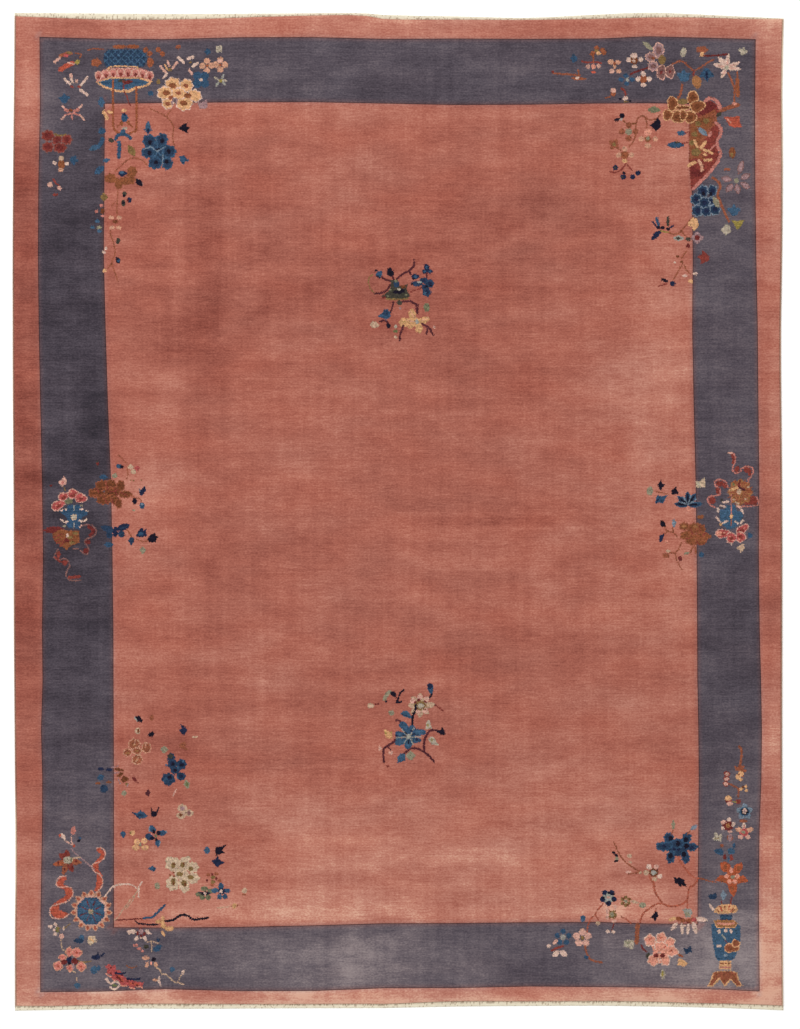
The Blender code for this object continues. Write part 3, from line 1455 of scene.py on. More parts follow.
RED_BUDS = Motif(54, 48, (
    Line(SIENNA, 4.5, (10, 12, 18, 8, 26, 8)), Oval(18, 11, 8, 5, CHERRY), Oval(23, 7, 8, 4, OLIVE),
    Bars(BLUSH, 4.5, (1, 21, 8, 15)), Line(FLAME, 7.2, (10, 32, 18, 27, 28, 23)),
    Bars(BLUSH, 1.8, (21, 22, 30, 24)), Oval(35, 21, 8, 6, LIME, -30),
    Line(SIENNA, 2, (51, 3, 60, 1, 74, 2)), Line(SIENNA, 1.8, (32, 8, 40, 9, 39, 15)),
    Bars(IVORY, 3.8, (16, 47, 24, 54, 26, 45, 28, 51, 50, 44, 40, 56, 40, 63, 50, 70)),
    Bars(BLUSH, 4.1, (25, 40, 26, 43, 34, 49, 34, 51)), Spots(CRIMSON, 6, 3.5, (27, 58, 38, 58), 30),
    Trefoil(16, 85, 18, -93, BLUE), Oval(63, 22, 15, 12, RUST, waves=5), Oval(64, 22, 8, 6, SIENNA),
))
MAROON_PEONY = Motif(48, 105, (
    Bars(BLUSH, 3, (22, 2, 27, 8, 51, 0, 45, 6, 21, 21, 26, 15, 48, 15, 54, 22)),
    Bars(ROSE, 4.5, (26, 7, 30, 9, 45, 7, 40, 9)), Line(ROSE, 2.7, (26, 15, 32, 13, 40, 13, 48, 16)),
    Bars(ROSE, 2.4, (36, 14, 36, 20)), Oval(34, 8, 6, 4.5, UMBER), Peony(CRIMSON, (0, 46, 18, 15, 0, 15,
    54, 16, 15, 0, 28, 52, 15, 14, 0, 0, 63, 16, 14, 0, 18, 64, 18, 14, 0), PLUM, MAROON, 0.6),
    Line(OLIVE, 2.4, (10, 44, 18, 46, 27, 44)), Blade(20, 78, 21, 10, 90, BROWN),
    Oval(20, 80, 8, 7, SAND), Oval(10, 87, 7, 5, IVORY, 40), Oval(28, 88, 7, 6, IVORY),
    Trefoil(31, 81, 16, 12, BLUE),
))
BAND_TWIGS = Motif(50, 170, (
    Oval(16, 0, 8, 6, PEACH), Line(CRIMSON, 2.7, (5, 14, 9, 20, 13, 23)), Oval(0, 22, 8, 8, BLUSH),
    Oval(14, 27, 7, 6, BLUSH, 30), Oval(8, 37, 9, 4, CRIMSON), Spots(ROSE, 5, 4.5, (77, 53, 70, 62, 79,
    69)), Spots(TEAL, 7, 5, (71, 77, 64, 86, 74, 92)), Oval(74, 86, 8, 4.5, SAGE),
))
CREAM_PEONY = Motif(145, 47, (
    Spots(RUST, 8, 8, (1, 4, 7, 10, 20, 4, 26, 10)), Oval(8, 23, 10, 15, RUST, waves=3), Peony(CREAM, (34,
    84, 15, 16, 0, 42, 57, 22, 21, 0, 62, 58, 18, 18, 0, 30, 69, 21, 18, 0, 74, 73, 20, 16, 20, 59, 84,
    22, 21, 0, 51, 70, 21, 15, 0), IVORY), Spots(BROWN, 11, 8, (41, 58, 32, 69, 64, 73, 58, 84)),
    Spots(SIENNA, 8, 6, (61, 58, 50, 69, 39, 76, 34, 85, 50, 0)), Spots(RUST, 4.5, 3.5, (44, 60, 62, 60,
    30, 70, 56, 82)), Bars(MAUVE, 3, (42, 78, 40, 86, 48, 78, 47, 84)),
    Bars(BLUSH, 3.8, (23, 29, 31, 38, 34, 22, 36, 28, 48, 23, 41, 32)),
    Bars(CREAM, 2.7, (30, 27, 33, 33)), Bars(IVORY, 3.3, (33, 40, 28, 46)), Oval(37, 34, 7, 5, OLIVE),
    Bars(IVORY, 4.1, (50, 16, 58, 23, 64, 18, 72, 15, 72, 29, 79, 24)),
    Bars(BLUSH, 3.6, (66, 34, 70, 40)), Oval(68, 23, 4.5, 3, OLIVE),
    Flower(93, 28, 7, 8, 4, PEACH, RUST, 4), Flower(84, 49, 8, 11, 4, BLUE, IVORY, 4.5, first=-45),
    Oval(20, 52, 6, 8, OLIVE),
))
LANTERN = Motif(90, 40, (
    Spots(RUST, 20, 6, (44, 10, 64, 10)), Area(PEACOCK, (27, 14, 76, 14, 84, 21, 86, 30, 81, 40, 24, 40,
    20, 30, 21, 20)), Lattice(52, 27, 66, 26, 9.6, PEACOCK, TEAL),
    Area(ROSE, (27, 42, 76, 42, 86, 46, 94, 54, 92, 62, 10, 62, 9, 54, 18, 46)),
    Area(SIENNA, (30, 44, 70, 44, 68, 47, 32, 47)), Line(CREAM, 2, (28, 46, 32, 40, 68, 40, 72, 46)),
    *(Oval(13 + 11 * k, 53 - 5 * math.sin(math.pi * k / 7), 9, 10.5, ROSE, rim=BLUSH) for k in range(8)),
    *(Oval(13 + 11 * k, 56 - 4.6 * math.sin(math.pi * k / 7), 5, 6.5, CRIMSON) for k in range(8)),
    Area(CREAM, (8, 63, 30, 56, 74, 56, 94, 62, 87, 69, 69, 74, 60, 79, 40, 78, 21, 72)),
    Area(TEAL, (12, 63, 32, 58, 72, 58, 89, 63, 82, 68, 68, 70, 57, 75, 40, 75, 22, 69)),
    Spots(BLUE, 12, 5, (24, 64, 70, 63, 52, 70)), Oval(57, 63, 14, 6, MAROON, -12),
    Oval(48, 61, 12, 4.5, GREEN), Line(CRIMSON, 1.8, (50, 60, 51, 75, 56, 86, 58, 94, 62, 99)),
    Oval(17, 93, 10, 14, TEAL, waves=4), Oval(91, 80, 9, 8, BLUE),
))
LANTERN_CORDS = Motif(103, 81, (
    Line(RUST, 3.3, (15, 0, 15, 58, 16, 70, 20, 76, 26, 80)), Line(RUST, 3.3, (50, 9, 50, 69, 45, 76, 38,
    80)), Line(RUST, 2.2, (21, 69, 26, 64, 32, 60, 38, 63, 44, 69)), Oval(31, 44, 7, 5, CREAM),
    Oval(32, 55, 10, 14, BLUE, waves=3), Oval(32, 50, 5, 4.5, NAVY),
    Spots(BROWN, 3.5, 8, (28, 63, 38, 63)), Oval(32, 71, 9, 3.5, PALE), Oval(30, 76, 8, 7, TEAL),
    Line(BLUE, 5.1, (28, 80, 22, 82, 19, 87)), Line(BLUE, 5.1, (32, 80, 37, 82, 41, 86)),
    Oval(12, 89, 9, 7, GREEN, 25), Bars(CREAM, 4.8, (1, 46, 6, 56, 8, 46, 12, 47)),
))
BLUE_BUD = Motif(98, 129, (
    Line(BLUE, 5.7, (32, 22, 32, 32, 31, 42)), Oval(6, 3, 11, 10, BLUE, waves=3),
    Line(BLUE, 6.3, (7, 15, 4, 22, 0, 27)), Blade(3, 24, 18, 8, 155, TEAL),
    Blade(75, 8, 20, 8, -90, TEAL), Bars(BLUE, 2.7, (70, 1, 74, 4, 80, 1, 76, 4)),
    Oval(75, 2, 4, 8, NAVY), Blade(45, 24, 20, 10, 58, OLIVE), Blade(18, 46, 12, 7, 172, TEAL),
    Blade(9, 56, 18, 10, 140, BLUE), Peony(BROWN, (19, 74, 18, 14, 0, 31, 82, 12, 16, 0, 42, 78, 20, 12,
    0, 51, 64, 15, 16, 0, 50, 76, 12, 10, 0)), Spots(BROWN, 8, 3, (20, 76, 30, 80, 46, 70, 51, 81)),
    Blade(30, 68, 14, 9, -8, NAVY), Spots(TEAL, 7, 5, (31, 20, 36, 65)), Blade(59, 74, 15, 7, 58, BLUSH),
    Blade(57, 74, 16, 8, 52, INK), Line(SIENNA, 1.7, (26, 63, 45, 46, 58, 44, 68, 48, 74, 54)),
))
BLUE_PEONY = Motif(144, 109, (
    Area(INK, (51, 29, 58, 23, 65, 20, 64, 26, 70, 28, 65, 31, 66, 37)),
    Area(BLUE, (52, 71, 60, 70, 69, 79, 62, 79, 59, 84, 55, 79)), Oval(21, 63, 33, 33, PEACOCK),
    Peony(BLUE, (20, 64, 18, 16, 0, 8, 48, 21, 20, 20, 27, 46, 18, 20, 0, 38, 64, 21, 20, 0, 6, 65, 20,
    18, 0, 35, 81, 16, 20, 0, 17, 81, 21, 18, 0), spot=PEACOCK, spot_share=0.74),
    Spots(INK, 6, 7, (21, 62, 9, 50, 27, 48, 37, 64, 8, 66, 34, 79, 18, 80)),
    Bars(TEAL, 1.8, (18, 42, 20, 56, 9, 56, 27, 70, 30, 56, 14, 72, 28, 62, 28, 88, 30, 74, 40, 75)),
    Bars(SKY, 1.5, (10, 56, 20, 64, 28, 68, 28, 82, 0, 60, 10, 57, 21, 63, 33, 56)),
    Line(SIENNA, 1.7, (10, 0, 24, 6, 36, 14, 44, 26, 43, 42, 46, 56)), Line(SIENNA, 1.5, (42, 0, 33, 12)),
))
PALE_BLOSSOMS = Motif(197, 46, (
    Flower(35, 28, 7, 8, 4, PEACH, RUST, 4), Oval(34, 22, 8, 5, BLUSH),
    Area(PALE, (28, 0, 38, 0, 37, 9, 29, 10)), Trefoil(22, 8, 12, 176, BLUE),
    Bars(MIST, 3, (40, 43, 38, 48, 42, 57, 39, 55, 29, 60, 32, 55)),
    Bars(PALE, 2.7, (27, 47, 33, 52, 44, 52, 38, 52)), Oval(36, 52, 5, 4.5, LIME),
    Area(MAUVE, (0, 82, 6, 86, 14, 80, 16, 92, 12, 94, 4, 94)),
))
BROWN_LEAVES = Motif(102, 187, (
    Line(SIENNA, 1.7, (24, 0, 22, 44)), Line(SIENNA, 1.5, (14, 30, 20, 21)), Oval(34, 10, 7, 7, GREEN),
    Oval(32, 24, 6, 10, GREEN), Spots(INK, 4, 4.5, (33, 13, 32, 24)), Oval(41, 19, 7, 8, NAVY),
    Oval(38, 20, 3.5, 3.5, MAROON), Oval(3, 15, 10, 11, OLIVE, waves=4), Oval(1, 36, 6, 8, UMBER),
    Spots(PEACH, 8, 6, (14, 46, 26, 46, 15, 61, 25, 61)), Oval(20, 52, 8, 5, UMBER),
))
HANGING_TWIG = Motif(104, 231, (
    Line(SIENNA, 1.7, (9, 0, 12, 12, 16, 24, 16, 36, 12, 46, 15, 58, 21, 76)),
    Line(SIENNA, 1.5, (12, 48, 6, 56, 0, 58)), Oval(21, 15, 6, 10, GREEN, 20),
    Spots(IVORY, 5, 5, (3, 26, 0, 32)), Oval(1, 59, 5, 6, CREAM), Oval(21, 44, 7, 10, INK, -20),
    Oval(22, 45, 3.5, 4, BLUE),
))
PLUM_SPRAY = Motif(552, 48, (
    Line(SIENNA, 2.7, (2, 38, 42, 41)), Line(RUST, 2.2, (39, 33, 40, 39, 38, 44)),
    Blade(28, 45, 24, 5, 3, RUST), Oval(38, 45, 6, 4.5, IVORY), Oval(1, 36, 4, 4.5, MAROON),
    Trefoil(40, 16, 14, 182, BLUE), Spots(RUST, 8, 7, (67, 0, 76, 3, 61, 8, 78, 7)),
    Oval(67, 4, 6, 5, OLIVE), Oval(70, 8, 7, 6, CREAM), Line(CRIMSON, 2.5, (45, 20, 54, 22, 63, 21, 74,
    23)), Line(RUST, 2.1, (62, 10, 62, 21)), Spots(BLUSH, 6, 7, (54, 28, 70, 27)),
    Oval(62, 28, 7, 8, CORAL), Oval(62, 36, 7, 4, FLAME), Oval(88, 21, 9, 8, PEACH),
    Line(RUST, 1.8, (88, 73, 80, 75)),
))
MAUVE_BLOSSOMS = Motif(612, 41, (
    Spots(PEACH, 8, 7, (9, 32, 10, 45)), Oval(4, 38, 4.5, 9, PEACH), Oval(4, 34, 4, 4.5, RUST),
    Oval(33, 29, 12, 12, UMBER), Oval(33, 22, 10, 8, IVORY), Oval(34, 38, 8, 4.5, IVORY),
    Oval(33, 30, 5, 4, IVORY), Line(MAROON, 2.7, (27, 50, 39, 45, 51, 41, 64, 38)),
    Spots(BLUE, 8, 7, (21, 52, 30, 58, 14, 58, 22, 64)), Oval(23, 58, 4, 7, MIST),
    Oval(47, 57, 10, 14, RUST), Spots(IVORY, 7, 8, (25, 28, 43, 28, 47, 49, 39, 57, 56, 57)),
    Spots(IVORY, 8, 6, (47, 66, 20, 86)), Oval(2, 79, 8, 8, RUST), Spots(BLUSH, 8, 7, (0, 45, 2, 74)),
    Line(CRIMSON, 3, (14, 71, 19, 75, 20, 81)), Spots(INK, 4, 4, (12, 87, 27, 90)),
    Oval(21, 91, 8, 2, OLIVE), Peony(MAUVE, (70, 14, 14, 21, 0, 58, 24, 14, 12, 0, 62, 38, 14, 12, 0),
    BLUSH, PLUM, 0.6), Peony(PLUM, (74, 47, 12, 20, 0, 87, 46, 12, 18, 0), BLUSH, MAROON, 0.3, waves=5),
    Oval(62, 26, 6, 4.5, RUST), Oval(75, 28, 11, 14, OLIVE), Blade(46, 1, 20, 7, 38, SAGE),
))
MAGNOLIA = Motif(672, 49, (
    Oval(17, 5, 9, 14, PALE, 14), Oval(45, 1, 18, 10, SIENNA, waves=7), Oval(45, 8, 6, 8, CREAM, 20),
    Line(SIENNA, 2.5, (0, 23, 12, 18, 18, 20, 26, 27, 33, 32, 44, 27, 54, 20, 63, 16)),
    Line(MAROON, 2.7, (48, 10, 63, 10, 82, 8)), Line(CRIMSON, 2.4, (33, 32, 32, 39)),
    Burst(82, 28, 22, 7, IVORY, (-82, -22, 6, 195, 232), fullness=0.8),
    Burst(82, 28, 18, 7, IVORY, (-122, 118)), Burst(82, 28, 16, 2.5, BLUSH, (-82, -22, 6, 195, 118)),
    Oval(82, 28, 7, 7, PALE), Trefoil(18, 51, 22, -92, TEAL), Oval(18, 42, 16, 14, TEAL),
    Trefoil(52, 26, 24, 90, BLUE), Oval(52, 40, 3.5, 14, NAVY), Blade(35, 40, 21, 14, 78, TAN,
    fullness=0.8), Line(SIENNA, 3.6, (15, 54, 14, 64, 9, 74)), Line(SIENNA, 2.7, (84, 36, 93, 57, 93,
    82)), Line(RUST, 6, (98, 46, 98, 58, 99, 69)), Bars(RUST, 2.4, (98, 34, 98, 46)),
    Trefoil(105, 11, 15, -78, PALE), Line(SIENNA, 6, (99, 84, 90, 86, 72, 93)),
    Oval(94, 82, 7, 4.5, CORAL),
))
MAGNOLIA_TRUNK = Motif(689, 100, (
    Area(FLAME, (52, 25, 63, 26, 75, 23, 76, 32, 79, 41, 66, 41, 61, 39)),
    Bars(CORAL, 1.5, (56, 27, 63, 34)), Area(CRIMSON, (20, 6, 32, 0, 42, 8, 45, 18, 40, 32, 46, 45, 40,
    66, 46, 84, 34, 104, 20, 120, 3, 135, 0, 90, 0, 36)),
))
ROCK = Motif(668, 97, (
    Area(SIENNA, (32, 40, 48, 28, 72, 20, 74, 36, 66, 52, 54, 64, 54, 92, 32, 92)),
    Area(BROWN, (34, 40, 51, 30, 68, 30, 64, 45, 52, 51, 45, 76, 33, 80)),
    Spots(OLIVE, 9, 8, (45, 40, 40, 56, 57, 36, 36, 69)), Area(RUST, (54, 22, 70, 15, 72, 22, 57, 30)),
    Area(MAROON, (54, 10, 64, 6, 74, 14, 66, 21, 52, 28, 44, 22)),
    Spots(CRIMSON, 10, 14, (69, 51, 64, 60)), Oval(63, 56, 4.5, 10, ROSE, 30),
    Line(ROSE, 5.1, (56, 6, 62, 2, 70, 4, 76, 10, 78, 16)), Oval(76, 26, 9, 6, GREEN, -30),
    Blade(45, 46, 18, 8, 40, SKY), Peony(BROWN, (7, 10, 14, 20, 0, 37, 1, 15, 18, 20, 44, 14, 21, 15, -15,
    0, 27, 14, 14, 0, 15, 30, 18, 16, 25, 34, 30, 16, 16, 0, 23, 27, 9, 14, 0), CREAM, UMBER, 0.5,
    waves=3), Oval(22, 7, 15, 9, OLIVE), Oval(22, 16, 21, 4.5, UMBER, rim=CREAM),
    Blade(28, 54, 15, 8, 180, TEAL), Line(CRIMSON, 1.8, (26, 54, 33, 52)),
    Blade(24, 72, 26, 10, 180, BLUE), Oval(14, 68, 8, 3, GREEN), Line(CRIMSON, 1.8, (21, 70, 30, 68)),
    Line(ROSE, 4.7, (72, 39, 79, 46, 79, 57, 74, 64, 75, 75, 79, 84, 75, 96, 68, 106, 56, 120, 45, 130,
    38, 138)), Line(ROSE, 2.7, (74, 70, 68, 74, 62, 80)), Bars(CREAM, 3.9, (40, 66, 44, 75, 54, 79, 66,
    84, 55, 86, 57, 87, 55, 95, 65, 94)), Bars(CREAM, 4.8, (56, 68, 50, 76, 40, 98, 31, 103)),
    Oval(42, 83, 14, 12, OLIVE, waves=5), Line(RUST, 3.6, (33, 92, 44, 90, 54, 92)),
))
ROCKSIDE_FLOWERS = Motif(691, 152, (
    Area(MAROON, (0, 20, 14, 28, 26, 24, 14, 38, 0, 36)), Line(PEACH, 4.5, (12, 13, 16, 20, 16, 28)),
    Oval(62, 1, 10, 17, BROWN), Oval(61, 4, 4.5, 8, OLIVE), Oval(54, 26, 10, 4.5, SIENNA),
    Blade(68, 43, 20, 7, -72, MAUVE, PLUM, start=11),
    Burst(68, 43, 14, 7, MAUVE, (-24, 190, 133, 28), PLUM, start=8),
    Blade(68, 43, 13, 7, 82, MAUVE, PLUM, start=6), Oval(68, 43, 7, 7, SAGE),
    Peony(PEACOCK, (18, 59, 14, 16, 0, 32, 58, 12, 15, 0, 8, 71, 15, 15, 0, 10, 88, 15, 15, 0, 23, 88, 15,
    15, 0, 36, 86, 14, 15, 0, 30, 74, 10, 10, 0, 20, 76, 15, 14, 0), SKY, NAVY, 0.5),
    Spots(INK, 5, 7, (19, 63, 30, 63)), Line(SIENNA, 3.8, (32, 38, 40, 44, 44, 52, 40, 63, 44, 76, 50,
    90, 57, 104)), Blade(34, 67, 18, 9, 65, SAGE), Trefoil(64, 98, 21, -88, TEAL),
    Area(LIME, (60, 102, 70, 104, 80, 101, 76, 110, 70, 117)), Area(PALE, (45, 118, 52, 108, 58, 110, 60,
    120, 52, 125)),
))
HANGING_PLUM = Motif(610, 109, (
    Blade(56, 1, 20, 9, 2, MOSS), Oval(66, 0, 6, 9, MOSS), Line(SIENNA, 2.1, (76, 8, 69, 15, 58, 16, 52,
    11, 46, 11, 40, 18, 38, 40, 34, 50, 28, 57)), Line(SIENNA, 2, (52, 12, 55, 20, 55, 28)),
    Line(BROWN, 2.4, (20, 18, 27, 22, 39, 22)), Line(SIENNA, 2, (9, 57, 16, 62)), Oval(18, 10, 8, 8, INK),
    Oval(10, 16, 9, 5, INK, -15), Oval(17, 15, 4.5, 3.5, MIST), Flower(28, 34, 10, 8, 4, SIENNA, SAGE,
    10), Area(INK, (72, 12, 76, 20, 76, 27, 69, 34, 65, 29, 59, 24, 66, 20)), Oval(57, 35, 12, 9, CORAL),
    Oval(57, 55, 10, 8, PEACH), Oval(57, 45, 9, 9, BROWN), Oval(57, 44, 6, 5, SAGE),
    Flower(6, 53, 5, 6, 4, SIENNA, OLIVE, 6, first=-60), Oval(22, 69, 12, 12, RUST),
    Spots(PEACH, 8, 8, (47, 45, 68, 45, 22, 60, 13, 69, 32, 69)), Oval(22, 78, 8, 6, CREAM),
    Line(CRIMSON, 2.1, (24, 82, 18, 90, 9, 95, 0, 94)), Line(CRIMSON, 2.1, (26, 84, 33, 92)),
    Oval(21, 96, 5, 4.5, INK), Spots(NAVY, 8, 8, (8, 88, 20, 102, 34, 102, 42, 96)),
    Spots(GREEN, 3.5, 3.5, (8, 88, 19, 102)),
))
LOW_PLUM = Motif(652, 217, (
    Line(SIENNA, 2.1, (24, 23, 34, 26, 44, 21, 56, 6, 60, 2)), Line(SIENNA, 1.7, (44, 20, 48, 26, 56,
    33)), Area(CREAM, (54, 9, 62, 0, 68, 3, 70, 14, 63, 21, 60, 15, 54, 14)),
    Bars(NAVY, 2.4, (1, 7, 9, 18, 32, 13, 24, 18)), Bars(BLUE, 4.2, (7, 2, 10, 14)),
    Bars(GREEN, 3.9, (24, 1, 24, 12)), Spots(INK, 6, 5, (10, 16, 16, 16, 24, 18)),
    Blade(14, 20, 21, 8, 138, NAVY), Line(LIME, 2.1, (12, 21, 24, 23)),
    Oval(40, 32, 14, 8, MIST, waves=4), Oval(40, 32, 9, 4.5, GREEN), Oval(54, 33, 9, 6, GREEN),
    Flower(68, 31, 5, 7, 4, MAUVE, MAROON, 8), Oval(54, 43, 6, 6, MAROON),
    Trefoil(88, 62, 21, 187, CRIMSON), Oval(78, 60, 12, 9, CRIMSON), Line(SIENNA, 2, (52, 51, 44, 62)),
    Spots(UMBER, 5, 3.5, (38, 59, 44, 67)), Oval(34, 68, 4.5, 3, IVORY),
    Line(SIENNA, 2, (46, 70, 32, 94)), Line(SIENNA, 2, (48, 72, 52, 80, 58, 86)),
    Spots(IVORY, 7, 4, (49, 88, 65, 85)), Oval(58, 96, 7, 7, CREAM), Oval(19, 95, 12, 5, INK, 22),
    Oval(31, 100, 8, 8, NAVY), Line(CRIMSON, 2, (10, 104, 22, 100)),
))
FIELD_TWIGS = Motif(101, 715, (
    Area(INK, (51, 2, 57, 1, 63, 8, 61, 11, 54, 10)), Bars(MIST, 1.5, (50, 3, 54, 9)),
    Oval(55, 24, 8, 10, SAND), Oval(56, 24, 3.5, 7, UMBER), Oval(76, 4, 6, 8, SIENNA, 20),
    Area(INK, (70, 30, 73, 26, 78, 24, 81, 28, 78, 32, 73, 33)), Peony(SIENNA, (40, 56, 10, 10, 0, 50, 44,
    15, 14, 0, 68, 49, 12, 14, 0, 54, 54, 12, 9, 0, 54, 67, 14, 12, 0), PEACH),
    Spots(TAN, 6, 3, (50, 45, 54, 54, 53, 68, 40, 57)), Bars(PEACH, 1.4, (51, 39, 50, 44, 56, 64, 52, 70,
    68, 42, 66, 48)), Area(UMBER, (18, 80, 26, 79, 34, 82, 34, 85, 24, 84)),
    Spots(NAVY, 9, 5, (0, 81, 12, 82)),
))
NAVY_PEONY = Motif(163, 723, (
    Area(NAVY, (26, 1, 32, 5, 37, 10, 32, 19, 26, 14, 24, 10, 28, 8)), Oval(48, 21, 10, 3.5, SAND),
    Area(SIENNA, (24, 32, 32, 28, 35, 32, 33, 36, 37, 40, 26, 38)), Oval(2, 40, 10, 10, SAGE, waves=4),
    Peony(PEACOCK, (12, 52, 12, 14, 0, 14, 61, 15, 15, 0, 28, 62, 15, 16, 0, 27, 80, 14, 12, 0, 8, 84, 20,
    18, 20, 18, 71, 14, 12, 0), spot=NAVY, spot_share=0.5), Oval(11, 50, 8, 7, GREEN),
    Spots(INK, 6, 4.5, (15, 62, 19, 71, 28, 63, 10, 81)), Oval(4, 86, 8, 8, BLUE),
    Spots(TEAL, 2.5, 4.5, (5, 63, 22, 66, 30, 57, 22, 82)), Area(PEACOCK, (1, 86, 14, 84, 8, 96)),
    Oval(36, 92, 8, 12, SAGE, -20, waves=4), Oval(36, 92, 4.5, 7, LEAF, -20),
))
PALE_SPRAY = Motif(98, 766, (
    Area(UMBER, (27, 16, 34, 9, 39, 10, 34, 17)), Area(UMBER, (34, 21, 39, 14, 46, 18, 45, 23, 37, 25)),
    Area(MAROON, (50, 18, 55, 16, 61, 26, 54, 23)), Oval(43, 27, 4.5, 4.5, OLIVE),
    Bars(MAUVE, 1.5, (24, 10, 32, 10, 30, 19, 33, 26, 46, 26, 44, 31, 21, 2, 30, 0)),
    Oval(4, 17, 10, 9, BLUE), Spots(BROWN, 8, 3.5, (16, 24, 0, 26)),
    Oval(9, 34, 12, 12, PEACOCK, waves=3), Oval(39, 41, 8, 8, SAGE),
    Area(WINE, (71, 40, 75, 35, 79, 39, 76, 46, 72, 44)), Area(BLUE, (52, 70, 60, 70, 64, 66, 70, 70, 75,
    76, 68, 79, 61, 79)), Oval(64, 74, 8, 4.5, PEACOCK), Bars(NAVY, 1.7, (52, 70, 60, 77)),
    Oval(84, 72, 10, 9, INK), Bars(INK, 2.5, (80, 64, 81, 70, 91, 63, 88, 70)),
))
SCATTERED_LEAVES = Motif(161, 789, (
    Bars(BLUSH, 2, (23, 1, 18, 10)), Oval(32, 29, 14, 12, SAND), Spots(SAND, 14, 10, (42, 36, 30, 40)),
    Oval(36, 35, 8, 9, SAND), Oval(32, 29, 7, 7, MAUVE), Oval(42, 36, 5, 7, PLUM),
    Oval(29, 39, 6, 4, UMBER), Oval(1, 66, 14, 8, BLUE, -8), Oval(69, 92, 9, 10, TEAL, waves=4),
))
GOLD_FLOWERS = Motif(123, 829, (
    Oval(0, 8, 8, 9, BLUE, waves=4), Oval(14, 6, 7, 8, CREAM), Oval(11, 6, 3, 3, OLIVE),
    Oval(44, 0, 9, 13, BLUE, -35), Oval(40, 12, 14, 10, PEACOCK, 15), Oval(52, 21, 8, 11, BLUE, -12),
    Oval(46, 4, 5, 7, INK, -35), Oval(53, 6, 6, 7, INK), Oval(44, 14, 8, 5, INK), Oval(50, 16, 5, 5, INK),
    Oval(49, 10, 3.5, 5, MOSS), Bars(ROSE, 1.5, (42, 7, 46, 10)), Spots(CREAM, 9, 9, (21, 19, 32, 18)),
    Spots(CREAM, 11, 8, (19, 28, 33, 28)), Spots(PEACH, 3.5, 3, (22, 19, 33, 18, 20, 28, 33, 28)),
    Oval(26, 23, 3, 6, SAGE),
))
IVORY_PEONY = Motif(148, 826, (
    Bars(SKY, 1.5, (2, 1, 2, 8, 26, 7, 28, 10, 18, 24, 17, 30)), Area(BLUE, (0, 64, 7, 59, 13, 64, 8,
    69)), Oval(7, 64, 6, 4.5, TEAL), Peony(OAT, (37, 57, 22, 21, 0, 54, 57, 18, 20, 0, 67, 62, 18, 16, 0,
    50, 72, 22, 18, 0, 67, 78, 21, 16, 0, 37, 86, 20, 22, 0, 54, 88, 16, 24, -10)),
    Oval(30, 51, 8, 10, OAT, 20), Oval(60, 49, 8, 8, OAT), Spots(OLIVE, 7, 9, (38, 59, 52, 58), 12),
    Oval(64, 64, 7, 7, OLIVE), Oval(48, 72, 10, 7, OLIVE), Oval(64, 77, 10, 7, OLIVE, 8),
    Oval(38, 84, 7, 12, OLIVE), Oval(54, 86, 8, 10, OLIVE, -25), Spots(UMBER, 3, 4.5, (38, 86, 56, 88, 39,
    57, 54, 56)), Spots(SIENNA, 3, 4, (38, 69, 39, 75, 33, 74)), Oval(14, 90, 8, 10, SAGE),
))
SMALL_FLOWERS = Motif(199, 844, (
    Area(INK, (25, 4, 30, 5, 41, 1, 35, 9, 39, 14, 31, 15, 25, 18, 24, 10)),
    Area(NAVY, (18, 25, 24, 23, 28, 18, 31, 24, 39, 28, 32, 31, 28, 36)),
    Spots(SIENNA, 6, 5, (14, 46, 26, 45, 31, 55, 20, 61)), Spots(OLIVE, 7, 6, (21, 50, 21, 57)),
    Spots(MAROON, 3, 4.5, (12, 55, 20, 46, 26, 52)), Spots(MOSS, 10, 7, (0, 75, 8, 67, 17, 71)),
    Spots(MOSS, 8, 8, (14, 80, 5, 80)), Oval(9, 74, 13, 6, INK), Spots(NAVY, 3, 3, (1, 73, 16, 74)),
    Oval(9, 74, 4, 4, IVORY), Oval(33, 63, 8, 10, BLUE), Oval(24, 70, 11, 8, TEAL),
    Oval(42, 70, 10, 7, BLUE), Oval(31, 79, 8, 8, TEAL), Oval(39, 79, 8, 8, BLUE),
    Oval(34, 71, 10, 10, NAVY), Oval(33, 71, 5, 5, IVORY), Oval(68, 70, 8, 8, SAND),
    Bars(SIENNA, 2.1, (66, 76, 70, 76)), Oval(53, 93, 7, 8, GOLD),
    Bars(RUST, 1.5, (58, 91, 58, 94, 48, 93, 49, 94)), Line(SAND, 1.4, (27, 96, 46, 94)),
))
FAR_RIBBON = Motif(60, 830, (
    Line(FLAME, 6.3, (58, 30, 64, 35, 62, 42, 56, 49, 52, 56, 57, 64, 61, 74, 59, 82, 55, 90)),
    Area(FLAME, (57, 48, 51, 52, 50, 57, 56, 63, 58, 56)), Area(FLAME, (55, 66, 60, 69, 62, 75, 62, 82,
    54, 88)), Line(BLUSH, 1.7, (8, 16, 19, 23)), Line(BLUSH, 1.7, (17, 9, 17, 16, 20, 24)),
    Oval(20, 1, 7, 13, ROSE, 12), Oval(5, 10, 5, 11, IVORY, -24), Oval(28, 16, 5, 5, INK),
    Oval(30, 12, 4.5, 3.5, BLUE), Spots(FLAME, 4, 4.5, (21, 24, 0, 8)),
))
